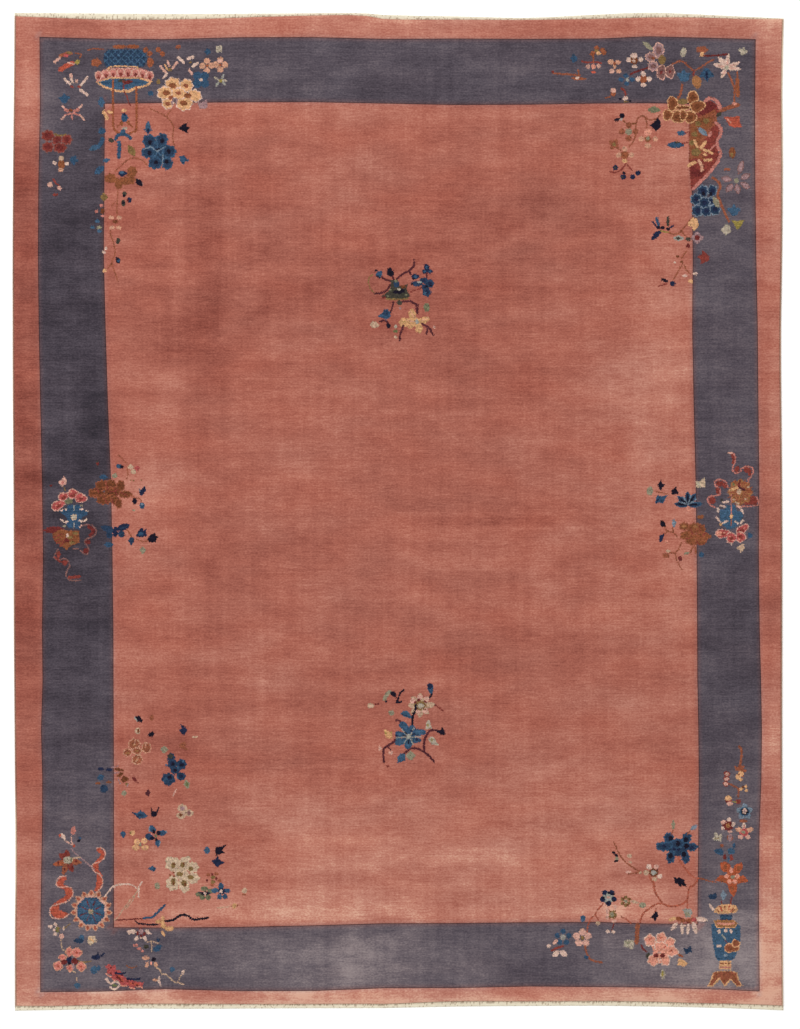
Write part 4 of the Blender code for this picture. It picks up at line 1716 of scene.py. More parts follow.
STAR_FLOWER = Motif(58, 848, (
    Line(BLUSH, 1.5, (58, 0, 66, 0, 71, 7, 70, 14, 63, 20, 53, 24, 51, 30, 56, 36, 63, 40, 67, 48, 66, 57,
    56, 69)), Area(FLAME, (58, 0, 64, 2, 69, 6, 70, 12, 64, 16, 63, 12, 64, 6)),
    Line(MAUVE, 1.7, (20, 0, 26, 8, 50, 28, 54, 33)), Line(SAND, 2, (33, 14, 24, 15, 16, 17)),
    Burst(14, 20, 22, 9, SIENNA, (166, 5, 108)), Burst(15, 20, 18, 9, CRIMSON, (-140, -99, 66)),
    Blade(15, 20, 26, 3, 166, EMBER), Spots(MAROON, 3.5, 4.5, (12, 8, 10, 32, 21, 30, 27, 20, 0, 22)),
    Oval(15, 18, 15, 10, PALE, waves=5), Bars(MOSS, 1.4, (9, 16, 12, 21, 14, 14, 16, 20, 20, 15, 20, 21,
    15, 21, 18, 24)), Burst(50, 94, 13, 10, PEACH, around(15), fullness=0.62, start=19),
    Oval(50, 94, 50, 50, PEACH), Burst(50, 94, 7, 4.5, CLAY, around(15), start=23),
    Oval(50, 94, 46, 46, BLUSH),
))
NEAR_RIBBON = Motif(49, 876, (
    Line(FLAME, 6.6, (23, 4, 16, 8, 16, 14, 26, 18, 32, 23, 30, 30, 10, 44, 5, 52, 12, 60, 26, 58)),
    Line(BLUSH, 1.5, (26, 0, 16, 2, 11, 8, 12, 15, 18, 17, 28, 16, 35, 20, 36, 27, 33, 33, 26, 39, 14, 42,
    4, 46, 1, 54, 4, 62, 14, 64, 22, 63, 30, 57)), Area(FLAME, (23, 2, 16, 3, 13, 8, 14, 15, 22, 15)),
    Area(FLAME, (23, 18, 31, 19, 34, 26, 32, 32, 22, 37, 25, 27)),
    Area(FLAME, (16, 43, 6, 47, 3, 53, 6, 59, 20, 62, 28, 56, 15, 51)), Blade(8, 69, 10, 4.5, 68, IVORY),
    Oval(2, 76, 8, 5, IVORY), Oval(8, 81, 6, 4.5, IVORY), Oval(9, 87, 7, 4.5, IVORY, -25),
))
WHEEL = Motif(57.67, 877.67, (
    Area(BLUE, tuple(50 + 22 * f(math.radians(t)) for t in around(8, 22.5) for f in (math.cos,
    math.sin))), Burst(50, 50, 16, 11, TEAL, around(8), fullness=1.3, start=4),
    Burst(50, 50, 15, 1.5, MAROON, around(8, -67.5), start=4.5), Oval(50, 51, 8, 8, SAGE),
    Spots(PEACH, 2.5, 2.5, (50, 50, 52, 54, 47, 48)), Oval(6, 88, 7, 8, BLUSH), Oval(9, 76, 4, 5, IVORY),
    Oval(0, 78, 6, 9, LEAF),
))
BAND_FLOWERS = Motif(56, 924, (
    Bars(OLIVE, 1.5, (2, 2, 6, 15, 12, 6, 21, 0, 0, 10, 6, 6)), Line(SAND, 1.5, (8, 24, 8, 34, 12, 40)),
    Oval(38, 22, 8, 13, TEAL), Blade(26, 25, 16, 8, 0, PEACOCK), Area(OAT, (48, 18, 59, 18, 60, 24, 63,
    27, 57, 28, 52, 32, 48, 28)), Bars(CREAM, 3, (51, 22, 56, 26)),
    Line(OLIVE, 2.1, (34, 56, 44, 57, 52, 56)), Peony(SHELL, (20, 42, 9, 12, 0, 31, 43, 14, 12, 0, 10, 50,
    10, 8, 0, 3, 63, 12, 12, 20, 21, 66, 9, 9, 0, 38, 64, 12, 12, 0), PEACH, FLAME, 0.3, waves=4),
    Oval(12, 57, 10, 8, MAROON), Oval(28, 56, 10, 10, MAROON), Oval(20, 53, 8, 9, NAVY),
    Oval(20, 59, 5, 5, INK), Oval(26, 63, 3.5, 8, MAUVE), Oval(60, 50, 13, 8, NAVY),
    Bars(NAVY, 3, (63, 44, 64, 50, 68, 48, 72, 44)), Oval(57, 69, 10, 12, TEAL), Oval(64, 66, 6, 9, BLUE),
    Oval(32, 92, 10, 8, TEAL), Bars(SAND, 1.5, (31, 80, 32, 87, 24, 70, 30, 74)),
))
BAT = Motif(105, 928, (
    Area(CHERRY, (0, 58, 6, 53, 10, 57, 16, 55, 16, 62, 23, 64, 27, 72, 36, 78, 58, 82, 56, 88, 48, 86,
    42, 91, 34, 86, 24, 87, 20, 79, 10, 77, 10, 70, 2, 68, 4, 62)),
    Bars(CORAL, 2, (2, 69, 9, 74, 12, 77, 20, 82, 24, 87, 33, 87, 36, 89, 44, 91, 48, 88, 56, 89)),
    Bars(FLAME, 3, (21, 72, 27, 80, 38, 83, 50, 85)), Spots(MAROON, 3.5, 3, (9, 60, 9, 68, 18, 74, 25, 80,
    26, 71, 34, 80, 42, 83, 48, 86)), Line(MAROON, 2.1, (16, 70, 26, 81)),
    Line(NAVY, 3, (16, 67, 22, 69, 30, 68)), Line(NAVY, 3.3, (33, 76, 42, 77, 52, 76)),
    Oval(3, 77, 6, 4.5, IVORY, 30), Line(IVORY, 2.7, (4, 80, 9, 83, 15, 81, 20, 82, 21, 87, 15, 92, 8,
    89)), Oval(14, 86, 8, 4, LEAF), Oval(87, 8, 4.5, 10, CREAM, -30),
    Area(IVORY, (33, 4, 44, 2, 48, 6, 44, 9, 39, 8, 35, 11)), Area(IVORY, (59, 4, 64, 2, 70, 9, 63, 9)),
    Spots(MAROON, 4.5, 5, (49, 8, 59, 9, 54, 12, 53, 1)), Oval(54, 5, 8, 8, MAUVE),
    Oval(47, 16, 5, 8, IVORY, 20), Oval(60, 16, 5, 8, IVORY, -20), Oval(54, 15, 3.5, 3.5, IVORY),
    Oval(46, 26, 8, 5, ROSE), Oval(51, 31, 6, 4.5, ROSE), Oval(56, 35, 4.5, 4, ROSE),
    Oval(62, 28, 8, 6, GREEN), Line(SAND, 1.4, (69, 20, 70, 27, 70, 36)),
    Line(SAND, 1.4, (63, 21, 70, 20, 80, 23)), Area(BLUE, (71, 32, 78, 25, 86, 26, 82, 34, 76, 36)),
    Oval(80, 18, 5, 6, PEACOCK), Oval(61, 45, 12, 6, PEACH), Oval(63, 55, 5, 9, PEACH, 15),
    Oval(76, 55, 6, 8, PEACH, -25), Oval(69, 53, 3, 6, CORAL), Oval(73, 47, 7, 7, INK),
    Area(IVORY, (78, 80, 82, 70, 84, 88)), Oval(75, 78, 8, 4, PEACH),
    Line(BROWN, 1.5, (32, 56, 39, 60, 48, 57)), Line(SAND, 1.7, (76, 58, 82, 63, 85, 69, 92, 70, 104, 81,
    110, 82, 118, 85)), Line(SAND, 1.5, (110, 82, 112, 75, 116, 69)), Oval(117, 66, 4, 8, IVORY, 25),
    Oval(101, 62, 8, 8, TEAL, waves=3),
))
FLY_WHISK = Motif(104, 882, (
    Line(IVORY, 2.1, (1, 22, 12, 8, 18, 5, 30, 3, 40, 4, 48, 8, 51, 12)),
    Line(IVORY, 2.1, (57, 0, 53, 6, 52, 14, 52, 23)), Oval(14, 7, 4.5, 3.5, IVORY),
    Line(SAND, 1.5, (50, 14, 34, 34, 21, 52, 16, 57)), Line(SAND, 1.4, (46, 22, 39, 33, 33, 40)),
    Line(MAROON, 2, (18, 57, 58, 55)), Line(BLUE, 3.4, (60, 54, 72, 53, 78, 48, 91, 35)),
    Line(INK, 2.7, (48, 59, 52, 62, 69, 64, 80, 64)), Oval(98, 70, 14, 7, GOLD, -6),
))
WAVY_STEM = Motif(158, 915, (
    Line(INK, 3.4, (10, 9, 21, 8, 33, 1, 39, 0, 46, 2, 51, 6, 63, 6, 75, 4)), Oval(7, 8, 5, 14, GOLD),
    Oval(0, 10, 8, 6, GOLD), Oval(8, 16, 8, 8, GOLD), Bars(CREAM, 1.8, (6, 4, 8, 15, 12, 20, 20, 20)),
))
BAND_TWIG_FLOWERS = Motif(705, 745, (
    Line(SIENNA, 3.3, (51, 2, 55, 10, 52, 36)), Burst(52, 39, 11, 5, SIENNA, (-140, -90, -50, 0, 60)),
    Spots(CREAM, 8, 8, (54, 43, 50, 48)), Spots(CREAM, 5, 5, (54, 52, 54, 66, 61, 62, 62, 68)),
    Oval(51, 44, 3, 3, RUST), *(Oval(33 - 0.9 * k, 43.5 + 7.5 * k, 6.6, 5, BLUSH,
    rim=CRIMSON) for k in range(3)), Oval(57, 63, 4.5, 4.5, UMBER),
    Line(SIENNA, 2.4, (36, 58, 44, 62, 50, 66, 50, 78)), Oval(50, 85, 8, 7, CRIMSON),
    Bars(LIME, 2, (42, 85, 48, 86)), Oval(35, 83, 10, 10, MAROON), Oval(35, 80, 10, 8, CREAM),
    Oval(37, 88, 10, 6, BLUSH), Oval(37, 84, 6, 2.5, CHERRY),
))
FLAME_FLOWER = Motif(712, 811, (
    Burst(49, 1, 13, 10, SKY, around(5), fullness=0.9), Oval(49, 1, 15, 14, TEAL),
    Oval(49, 1, 11, 11, INK), Spots(IVORY, 6, 9, (49, 0, 48, 22)), Oval(49, 0, 2.5, 4, MAUVE),
    Oval(24, 22, 16, 15, MAROON), Oval(26, 13, 7, 6, IVORY), Spots(BLUSH, 8, 6, (17, 17, 54, 39), -20),
    Oval(32, 20, 5, 8, IVORY, 10), Oval(16, 26, 4.5, 5, IVORY), Oval(27, 31, 7, 3.5, BLUSH),
    Oval(24, 22, 6, 8, TAN), Oval(47, 15, 12, 4.5, SIENNA), Oval(48, 32, 14, 12, CHERRY),
    Oval(40, 28, 9, 7, PEACH, 15), Oval(57, 28, 10, 7, PEACH, -15), Oval(43, 39, 8, 7, BLUSH, 20),
    Oval(47, 32, 6, 5, SAGE), Bars(CHERRY, 1.5, (48, 21, 48, 27)),
    Area(PALE, (0, 42, 4, 38, 4, 31, 10, 37, 15, 33, 14, 47, 9, 44, 3, 44)),
    Bars(OLIVE, 1.4, (4, 41, 11, 41)), Oval(27, 40, 9, 10, SIENNA), Oval(27, 40, 6, 12, MAUVE),
    Oval(15, 52, 6, 4.5, SIENNA), Area(BLUE, (2, 59, 12, 56, 18, 59, 16, 67, 8, 65)),
    Oval(29, 60, 11, 10, TEAL), Oval(33, 52, 5, 8, BLUE), Oval(19, 69, 5, 8, MAROON),
    Oval(29, 70, 5, 10, CRIMSON), Oval(25, 72, 3, 8, TEAL), Area(EMBER, (12, 77, 20, 76, 27, 80, 30, 92,
    18, 92, 13, 86)), Area(EMBER, (34, 81, 45, 77, 46, 86, 39, 96, 30, 92)),
))
CORNER_PEONY = Motif(660, 825, (
    Line(SIENNA, 2, (56, 80, 64, 81, 74, 84, 84, 86)), Oval(27, 34, 30, 26, PEACOCK), Peony(BLUE, (6, 32,
    26, 14, 0, 13, 19, 15, 16, -15, 40, 20, 14, 18, 20, 47, 33, 20, 13, 0, 38, 48, 13, 20, -12, 16, 48,
    13, 19, 8, 26, 28, 20, 16, 0), spot=PEACOCK, spot_share=0.72),
    Spots(INK, 7, 8, (16, 20, 39, 22, 16, 46, 36, 44, 27, 28, 40, 32)),
    Spots(NAVY, 6, 4.5, (6, 32, 48, 34, 21, 36, 28, 37)), Spots(TEAL, 4.5, 2, (2, 28, 24, 22, 51, 28, 21,
    40, 30, 33)), Oval(20, 0, 5, 14, SAGE), Line(SIENNA, 1.7, (20, 8, 17, 14)),
    Blade(45, 8, 15, 7, -35, MAUVE), Blade(46, 7, 12, 4.5, -35, SKY), Line(RUST, 2, (45, 9, 41, 14)),
    Line(CLAY, 2.5, (27, 48, 32, 58, 45, 74, 52, 79, 57, 80)), Area(INK, (20, 78, 25, 80, 28, 78, 31, 80,
    34, 80, 38, 85, 36, 86, 40, 92, 33, 91, 29, 92, 27, 88, 22, 87, 22, 82)), Oval(0, 77, 8, 7, IVORY),
))
VASE_NECK = Motif(708, 867, (
    Area(EMBER, (10, 20, 18, 13, 32, 12, 32, 26)), Area(EMBER, (45, 14, 54, 13, 61, 22, 40, 26)),
    Area(EMBER, (28, 22, 44, 22, 43, 36, 38, 46, 32, 36)), Oval(36, 14, 16, 20, EMBER),
    Spots(RUST, 6, 8, (26, 0, 46, 2, 36, 33)), Oval(22, 20, 10, 4.5, RUST), Oval(35, 5, 6, 8, CORAL),
    Spots(CORAL, 7, 7, (28, 14, 44, 14, 40, 22, 32, 22)), Oval(37, 15, 7, 5, SAGE),
    Area(PEACOCK, (0, 41, 6, 42, 11, 38, 14, 44, 11, 49, 2, 48)), Oval(5, 44, 9, 6, PEACOCK),
    Area(SKY, (18, 41, 23, 35, 29, 42, 23, 50)), Line(MAROON, 2, (20, 51, 21, 57)),
    Line(CRIMSON, 2.2, (35, 45, 34, 56)), Blade(10, 66, 14, 4.5, -128, IVORY),
    Area(CREAM, (8, 67, 13, 60, 21, 56, 33, 56, 42, 58, 45, 64, 42, 68, 30, 70, 15, 70)),
    Bars(FLAME, 2, (18, 59, 21, 66, 32, 58, 31, 64, 38, 62, 34, 67)),
    Bars(RUST, 1.5, (13, 63, 17, 68, 25, 58, 25, 63, 40, 64, 36, 68)),
))
VASE = Motif(707, 914, (
    Area(PEACOCK, (19, 1, 38, 1, 37, 9, 20, 9)), Bars(TEAL, 3, (21, 5, 36, 5)),
    Area(TEAL, (6, 16, 12, 14, 44, 14, 50, 18, 50, 39, 46, 54, 42, 66, 36, 70, 16, 70, 12, 62, 8, 39)),
    Area(CREAM, (10, 10, 16, 9, 40, 9, 46, 14, 42, 21, 14, 21)), Area(TAN, (10, 10, 18, 9, 39, 9, 45, 14,
    41, 20, 16, 20)), Line(CORAL, 3, (16, 14, 28, 15, 40, 14)), Spots(IVORY, 5, 6, (18, 26, 28, 25, 36,
    26)), Bars(MIST, 3, (23, 32, 27, 37)), Line(MAROON, 2.1, (28, 40, 32, 46)),
    Oval(18, 48, 8, 3.5, IVORY), Oval(36, 51, 21, 11, SIENNA, rim=CREAM, waves=3),
    Oval(43, 44, 10, 10, SIENNA, rim=CREAM, waves=3), Spots(BROWN, 8, 4, (38, 52, 43, 44)),
    Oval(28, 62, 7, 4.5, SKY), Area(CREAM, (19, 70, 36, 70, 36, 83, 18, 83)),
    Bars(BROWN, 1.7, (20, 74, 34, 74)), Bars(ROSE, 1.8, (20, 80, 35, 80)), Area(CREAM, (9, 87, 22, 85, 36,
    85, 45, 88, 48, 99, 54, 108, 45, 109, 36, 99, 30, 106, 26, 109, 20, 98, 9, 109, 0, 109, 6, 98)),
    Area(SIENNA, (10, 88, 22, 86, 36, 86, 44, 89, 46, 99, 52, 107, 46, 108, 37, 98, 34, 97, 26, 107, 19,
    95, 14, 99, 8, 107, 3, 107, 8, 97)), Bars(BROWN, 2.2, (15, 90, 10, 98, 26, 93, 26, 100, 39, 91, 43,
    98)),
))
BENT_STEM = Motif(636, 877, (
    Line(CLAY, 2.8, (92, 5, 86, 13, 80, 16, 78, 28, 76, 35, 70, 40, 62, 43, 51, 44, 42, 41, 32, 40, 15,
    51, 9, 58, 6, 68)), Line(CLAY, 2.7, (20, 0, 26, 10, 28, 21, 34, 32, 40, 40)),
    Line(CLAY, 2.1, (77, 36, 77, 48)), Line(CLAY, 2, (27, 6, 28, 15)), Line(CLAY, 1.8, (31, 46, 29, 52)),
    Line(SIENNA, 6.6, (2, 72, 2, 86, 1, 98)), Oval(28, 3, 8, 6, SAND),
))
CORAL_PEONY = Motif(624, 905, (
    Line(MAROON, 2.7, (26, 60, 28, 65, 34, 70)), Oval(36, 76, 6, 9, GREEN, 20),
    Oval(28, 0, 11, 8, SAGE, 10), Area(INK, (39, 20, 47, 10, 50, 10, 52, 17, 49, 19, 47, 25, 44, 20)),
    Blade(80, 19, 15, 6, 162, CREAM), Blade(80, 26, 16, 6, 128, IVORY), Blade(86, 26, 20, 5, 84, IVORY),
    Blade(97, 26, 20, 5, 96, IVORY), Blade(103, 24, 21, 7, 74, IVORY), Oval(91, 31, 4, 4, IVORY),
    Blade(105, 20, 21, 7, 8, IVORY), Spots(RUST, 8, 7, (82, 21, 88, 23, 97, 24, 104, 22)),
    Spots(MAROON, 3.5, 3, (86, 20, 96, 26)), Oval(105, 22, 8, 6, CHERRY),
    Area(MIST, (88, 7, 93, 5, 100, 6, 103, 12, 98, 19, 92, 18)), Oval(95, 14, 8, 7, SAGE),
    Area(CORAL, (39, 58, 57, 48, 80, 69, 66, 78, 60, 88, 42, 87, 46, 72)), Peony(CORAL, (39, 53, 15, 16,
    -20, 56, 50, 14, 16, 0, 69, 56, 14, 12, -20, 55, 62, 18, 12, 0, 70, 69, 21, 14, 10, 44, 83, 15, 15,
    20, 62, 83, 12, 14, -15), IVORY, waves=5), Oval(54, 73, 21, 14, CORAL),
    Spots(FLAME, 6, 2, (39, 51, 56, 49, 70, 69, 62, 63), -40), Spots(MAROON, 8, 7, (48, 76, 58, 76)),
    Oval(53, 71, 6, 3, BLUSH), Area(PEACOCK, (88, 63, 93, 66, 100, 61, 102, 72, 98, 71, 94, 74, 92, 72)),
    Area(CREAM, (80, 90, 82, 80, 88, 81, 96, 88, 90, 93, 86, 91)), Oval(85, 76, 9, 4, RUST, 25),
    Oval(87, 87, 8, 6, GOLD), Area(PALE, (0, 53, 8, 52, 15, 53, 15, 62, 11, 68, 8, 64, 0, 63)),
    Oval(6, 56, 9, 4.5, SAGE), Area(PALE, (54, 104, 58, 96, 63, 104, 58, 113)),
    Oval(58, 103, 3.5, 9, LIME),
))
FIELD_BLOSSOMS = Motif(603, 842, (
    Line(SIENNA, 2.1, (16, 0, 26, 21, 32, 28, 40, 35, 51, 42, 57, 45)), Oval(16, 16, 5, 4.5, INK, 30),
    Oval(20, 20, 6, 4.5, INK, 30), Oval(20, 28, 8, 4, INK, -28), Oval(21, 25, 6, 4.5, SAGE),
    Oval(40, 21, 7, 7, SAND), Oval(41, 30, 5, 3.5, SAND), Oval(38, 45, 8, 4, BLUSH),
    Bars(SIENNA, 1.8, (38, 48, 44, 47, 44, 47, 56, 46)), Oval(56, 46, 4.5, 4.5, SAND),
    Oval(69, 37, 8, 8, IVORY), Oval(80, 37, 8, 7, BLUSH), Oval(65, 46, 9, 8, SAND),
    Oval(76, 46, 14, 12, UMBER), Oval(76, 46, 8, 7, MIST), Spots(INK, 2.5, 2.5, (73, 42, 82, 42, 73, 50)),
    Oval(8, 83, 18, 18, MIST), Flower(8, 83, 9, 7, 5, NAVY, BLUSH, 4.5, first=-55),
    Spots(INK, 4.5, 4, (0, 84, 9, 76, 16, 78, 16, 88, 7, 92)), Flower(34, 89, 6, 4.5, 6, OLIVE, SAGE, 6),
    Spots(UMBER, 3, 3.5, (31, 85, 40, 86, 31, 92, 37, 95)), Blade(40, 88, 15, 4.5, 14, SAND),
))
FAN_FLOWER = Motif(598, 906, (
    Oval(22, 13, 11, 12, OLIVE, waves=5), Oval(21, 13, 6, 7, SAGE),
    Spots(UMBER, 2.5, 3, (18, 8, 26, 8, 18, 18, 26, 16)), Oval(24, 23, 7, 4.5, BLUSH),
    Spots(BLUSH, 4.5, 9, (14, 8, 14, 16)), Oval(26, 1, 4.5, 6, BLUSH), Oval(15, 38, 6, 5, IVORY),
    Oval(23, 39, 5, 4.5, IVORY), Line(MAROON, 1.7, (20, 38, 24, 27)),
    Line(CLAY, 2, (35, 16, 42, 20, 50, 26)), Oval(0, 26, 7, 6, SAND),
))
NEAR_BLOSSOMS = Motif(549, 904, (
    Oval(51, 22, 8, 10, TEAL), Line(CLAY, 2, (81, 0, 73, 9, 69, 16, 63, 22, 58, 33, 57, 42)),
    Line(CLAY, 2, (69, 15, 74, 24)), Flower(50, 51, 9, 9, 5, BLUSH, OLIVE, 6),
    Line(SIENNA, 2.7, (54, 63, 57, 75, 64, 84, 80, 88)), Oval(56, 80, 7, 6, BLUE),
    Flower(21, 50, 9, 7, 5, BLUE, MIST, 8), Blade(6, 60, 10, 6, -45, BLUSH), Oval(0, 63, 6, 6, IVORY),
    Burst(16, 70, 14, 8, IVORY, (35, 140)), Line(CRIMSON, 3.3, (4, 70, 12, 66, 21, 63)),
))
WEST_FLOWERS = Motif(56, 476, (
    Area(BLUSH, (4, 9, 9, 5, 12, 0, 16, 7, 15, 12, 10, 16, 7, 14)), Oval(10, 10, 5, 5, ROSE),
    Line(OLIVE, 1.8, (12, 17, 14, 22)), Oval(3, 44, 21, 11, CHERRY, -28, rim=BLUSH, waves=3),
    Oval(11, 31, 15, 10, CHERRY, -20, rim=BLUSH, waves=3), Spots(CHERRY, 16, 12, (26, 27, 37, 33), 12,
    rim=BLUSH, waves=3), Spots(CORAL, 3.5, 2, (0, 44, 6, 41, 11, 27, 22, 24, 27, 28, 34, 36, 39, 31),
    -30), Spots(CRIMSON, 8, 4.5, (4, 45, 12, 32, 26, 29, 37, 35), -20), Oval(19, 38, 13, 8, MOSS),
))
WEST_STAND = Motif(42, 504, (
    Area(BLUE, (38, 2, 57, 1, 59, 8, 69, 10, 69, 15, 60, 20, 58, 26, 56, 38, 50, 37, 48, 30, 46, 37, 40,
    36, 36, 30, 38, 22, 33, 16, 26, 11, 37, 8)), Bars(MIST, 1.4, (48, 2, 48, 9, 48, 28, 48, 36)),
    Oval(48, 20, 9, 9, OAT), Oval(48, 20, 6, 6, PALE), Bars(IVORY, 2.1, (28, 10, 31, 9, 28, 23, 33, 27,
    63, 26, 67, 23, 66, 10, 68, 10)), Bars(IVORY, 3, (36, 8, 36, 9, 58, 8, 60, 8, 36, 27, 38, 26, 56, 25,
    60, 26)), Bars(BLUSH, 3, (57, 34, 60, 32)), Spots(SAGE, 4, 3, (34, 33, 59, 2)),
    Area(MAROON, (0, 40, 12, 34, 24, 34, 33, 36, 18, 44, 8, 43)),
    Area(BROWN, (15, 45, 27, 38, 36, 39, 36, 68, 19, 56)),
    Area(BROWN, (33, 40, 56, 40, 56, 58, 45, 62, 38,
    68, 33, 63)), Bars(CRIMSON, 1.7, (17, 50, 30, 45, 20, 55, 30, 50, 22, 59, 32, 55, 27, 63, 33, 58)),
    Spots(OLIVE, 9, 4.5, (42, 50, 50, 44, 45, 58)), Oval(38, 47, 4, 6, IVORY), Oval(37, 55, 7, 8, MAROON),
    Bars(BROWN, 2.2, (37, 58, 37, 68)), Bars(PLUM, 2.1, (46, 67, 54, 67)), Line(PLUM, 2, (58, 34, 66, 31,
    75, 32, 81, 39, 80, 46, 74, 50, 66, 53, 64, 58, 68, 63, 70, 70, 66, 76, 58, 70)),
    Line(MAROON, 5.1, (70, 34, 76, 38, 77, 42, 72, 47)), Oval(69, 57, 8, 7, MAROON),
    Oval(66, 70, 8, 9, MAROON), Blade(88, 34, 24, 10, 18, PEACOCK), Line(PLUM, 2, (24, 68, 20, 74, 18,
    80, 24, 84, 33, 82, 40, 86, 41, 93, 38, 99, 36, 106, 39, 112, 46, 115, 58, 114)),
    Oval(25, 76, 6, 11, CRIMSON), Oval(34, 88, 9, 8, CRIMSON, 30),
    Line(CRIMSON, 3, (20, 80, 27, 86, 36, 88)), Bars(CRIMSON, 4.5, (41, 110, 56, 109)),
))
WEST_LEAF = Motif(96, 455, (
    Line(SIENNA, 1.5, (34, 0, 47, 14, 47, 22, 48, 30, 46, 36)), Oval(35, 17, 10, 7, BLUE),
    Oval(39, 18, 5, 4.5, INK), Spots(SAND, 8, 7, (52, 18, 56, 25)),
    Spots(OLIVE, 2.5, 2, (52, 38, 57, 38, 68, 38)), Oval(62, 20, 8, 7, CHERRY, -30, waves=3),
    Oval(28, 31, 8, 7, SAGE), Blade(5, 33, 12, 8, 0, BLUE), Peony(UMBER, (10, 46, 20, 14, 0, 22, 45, 15,
    14, 0, 37, 46, 10, 14, 0, 44, 59, 18, 9, 0, 24, 56, 21, 15, 0, 12, 66, 21, 14, 0, 29, 68, 12, 10, 0,
    34, 73, 8, 12, 0, 0, 57, 21, 12, 0), SIENNA), Area(NAVY, (65, 59, 65, 53, 69, 51, 73, 46, 75, 52, 72,
    58, 68, 61)), Bars(SKY, 1.5, (65, 54, 65, 51)), Oval(58, 69, 7, 10, INK), Oval(69, 76, 8, 10, BLUE),
    Bars(SKY, 2.4, (68, 74, 70, 74)), Line(SIENNA, 1.5, (52, 60, 58, 64, 66, 66, 68, 70)),
    Oval(57, 83, 5, 3, SAGE), Oval(2, 13, 3.5, 9, GREEN),
))
WEST_BUTTERFLY = Motif(94, 482, (
    Spots(RUST, 9, 3, (0, 14, 2, 20, 15, 8, 16, 24, 27, 10, 24, 20), -20), Bars(CRIMSON, 1.5, (4, 10, 10,
    20, 18, 0, 21, 12, 30, 8, 34, 20, 39, 15, 50, 21, 27, 26, 30, 36, 14, 21, 20, 32, 22, 16, 36, 12)),
    Blade(54, 64, 22, 10, 160, NAVY), Oval(32, 75, 7, 16, NAVY),
    Spots(PEACOCK, 10, 10, (23, 79, 41, 78)),
    Bars(PEACOCK, 1.8, (14, 68, 27, 72, 51, 65, 39, 70, 20, 81, 27,
    75, 44, 81, 38, 75)), Area(NAVY, (63, 80, 68, 72, 72, 68, 74, 73, 80, 68, 77, 75, 80, 80, 72, 83, 65,
    83)), Oval(70, 78, 7, 6, BLUE), Area(INK, (80, 86, 84, 80, 91, 76, 93, 81, 98, 82, 94, 85, 93, 91, 83,
    90)), Area(PEACOCK, (51, 88, 55, 82, 60, 84, 60, 89, 56, 96)), Line(RUST, 2.1, (50, 72, 56, 82)),
    Line(SIENNA, 1.7, (64, 86, 72, 89, 81, 88)), Area(SAGE, (68, 102, 73, 96, 78, 102, 73, 109)),
    Blade(15, 94, 14, 8, 0, BLUE),
))
WEST_SPECKS = Motif(51, 464, (
    Spots(MAROON, 4.5, 4.5, (0, 32, 70, 0)),
))
EAST_RIBBONS = Motif(707, 453, (
    Line(ROSE, 2.1, (32, 0, 38, 0, 43, 7, 41, 16, 38, 24, 42, 30, 50, 28, 52, 23, 60, 20, 67, 22, 69, 28,
    66, 36, 62, 40, 62, 48)), Bars(BLUSH, 2.5, (32, 0, 38, 0)), Line(CRIMSON, 4.2, (38, 3, 40, 9, 39,
    15)), Oval(45, 24, 7, 10, CRIMSON, 20), Oval(61, 26, 12, 9, CRIMSON, 25), Oval(64, 32, 5, 6, CRIMSON),
    Line(ROSE, 2.2, (31, 51, 28, 43, 20, 40, 12, 42, 13, 50, 19, 54, 19, 62, 12, 64, 4, 65, 1, 70, 5, 78,
    12, 82)), Oval(20, 46, 14, 8, CRIMSON), Oval(27, 49, 6, 8, CRIMSON), Oval(16, 57, 6, 10, CRIMSON),
    Oval(8, 71, 10, 11, CRIMSON, 20), Area(CRIMSON, (66, 64, 72, 65, 76, 72, 74, 78, 52, 78, 62, 72)),
    Line(ROSE, 1.8, (74, 65, 77, 72, 76, 78, 64, 80, 52, 80)), Oval(50, 59, 35, 37, TAN, waves=8),
    Burst(50, 59, 18, 2.5, SIENNA, around(16), start=3), Spots(SAND, 5, 2, (40, 70, 58, 69, 62, 51)),
    Spots(RUST, 8, 5, (42, 44, 56, 45, 63, 57)), Oval(48, 58, 7, 8, SAND),
    Line(MAROON, 3, (49, 42, 48, 50, 50, 52)), Line(WINE, 3.6, (48, 52, 56, 55)),
    Bars(CREAM, 3.2, (35, 56, 45, 52)), Oval(40, 47, 3.5, 4.5, LEAF), Bars(BLUSH, 3.6, (45, 80, 50, 82)),
    Bars(SAND, 2.1, (42, 74, 48, 76)), Oval(22, 71, 3.5, 4.5, GREEN),
))
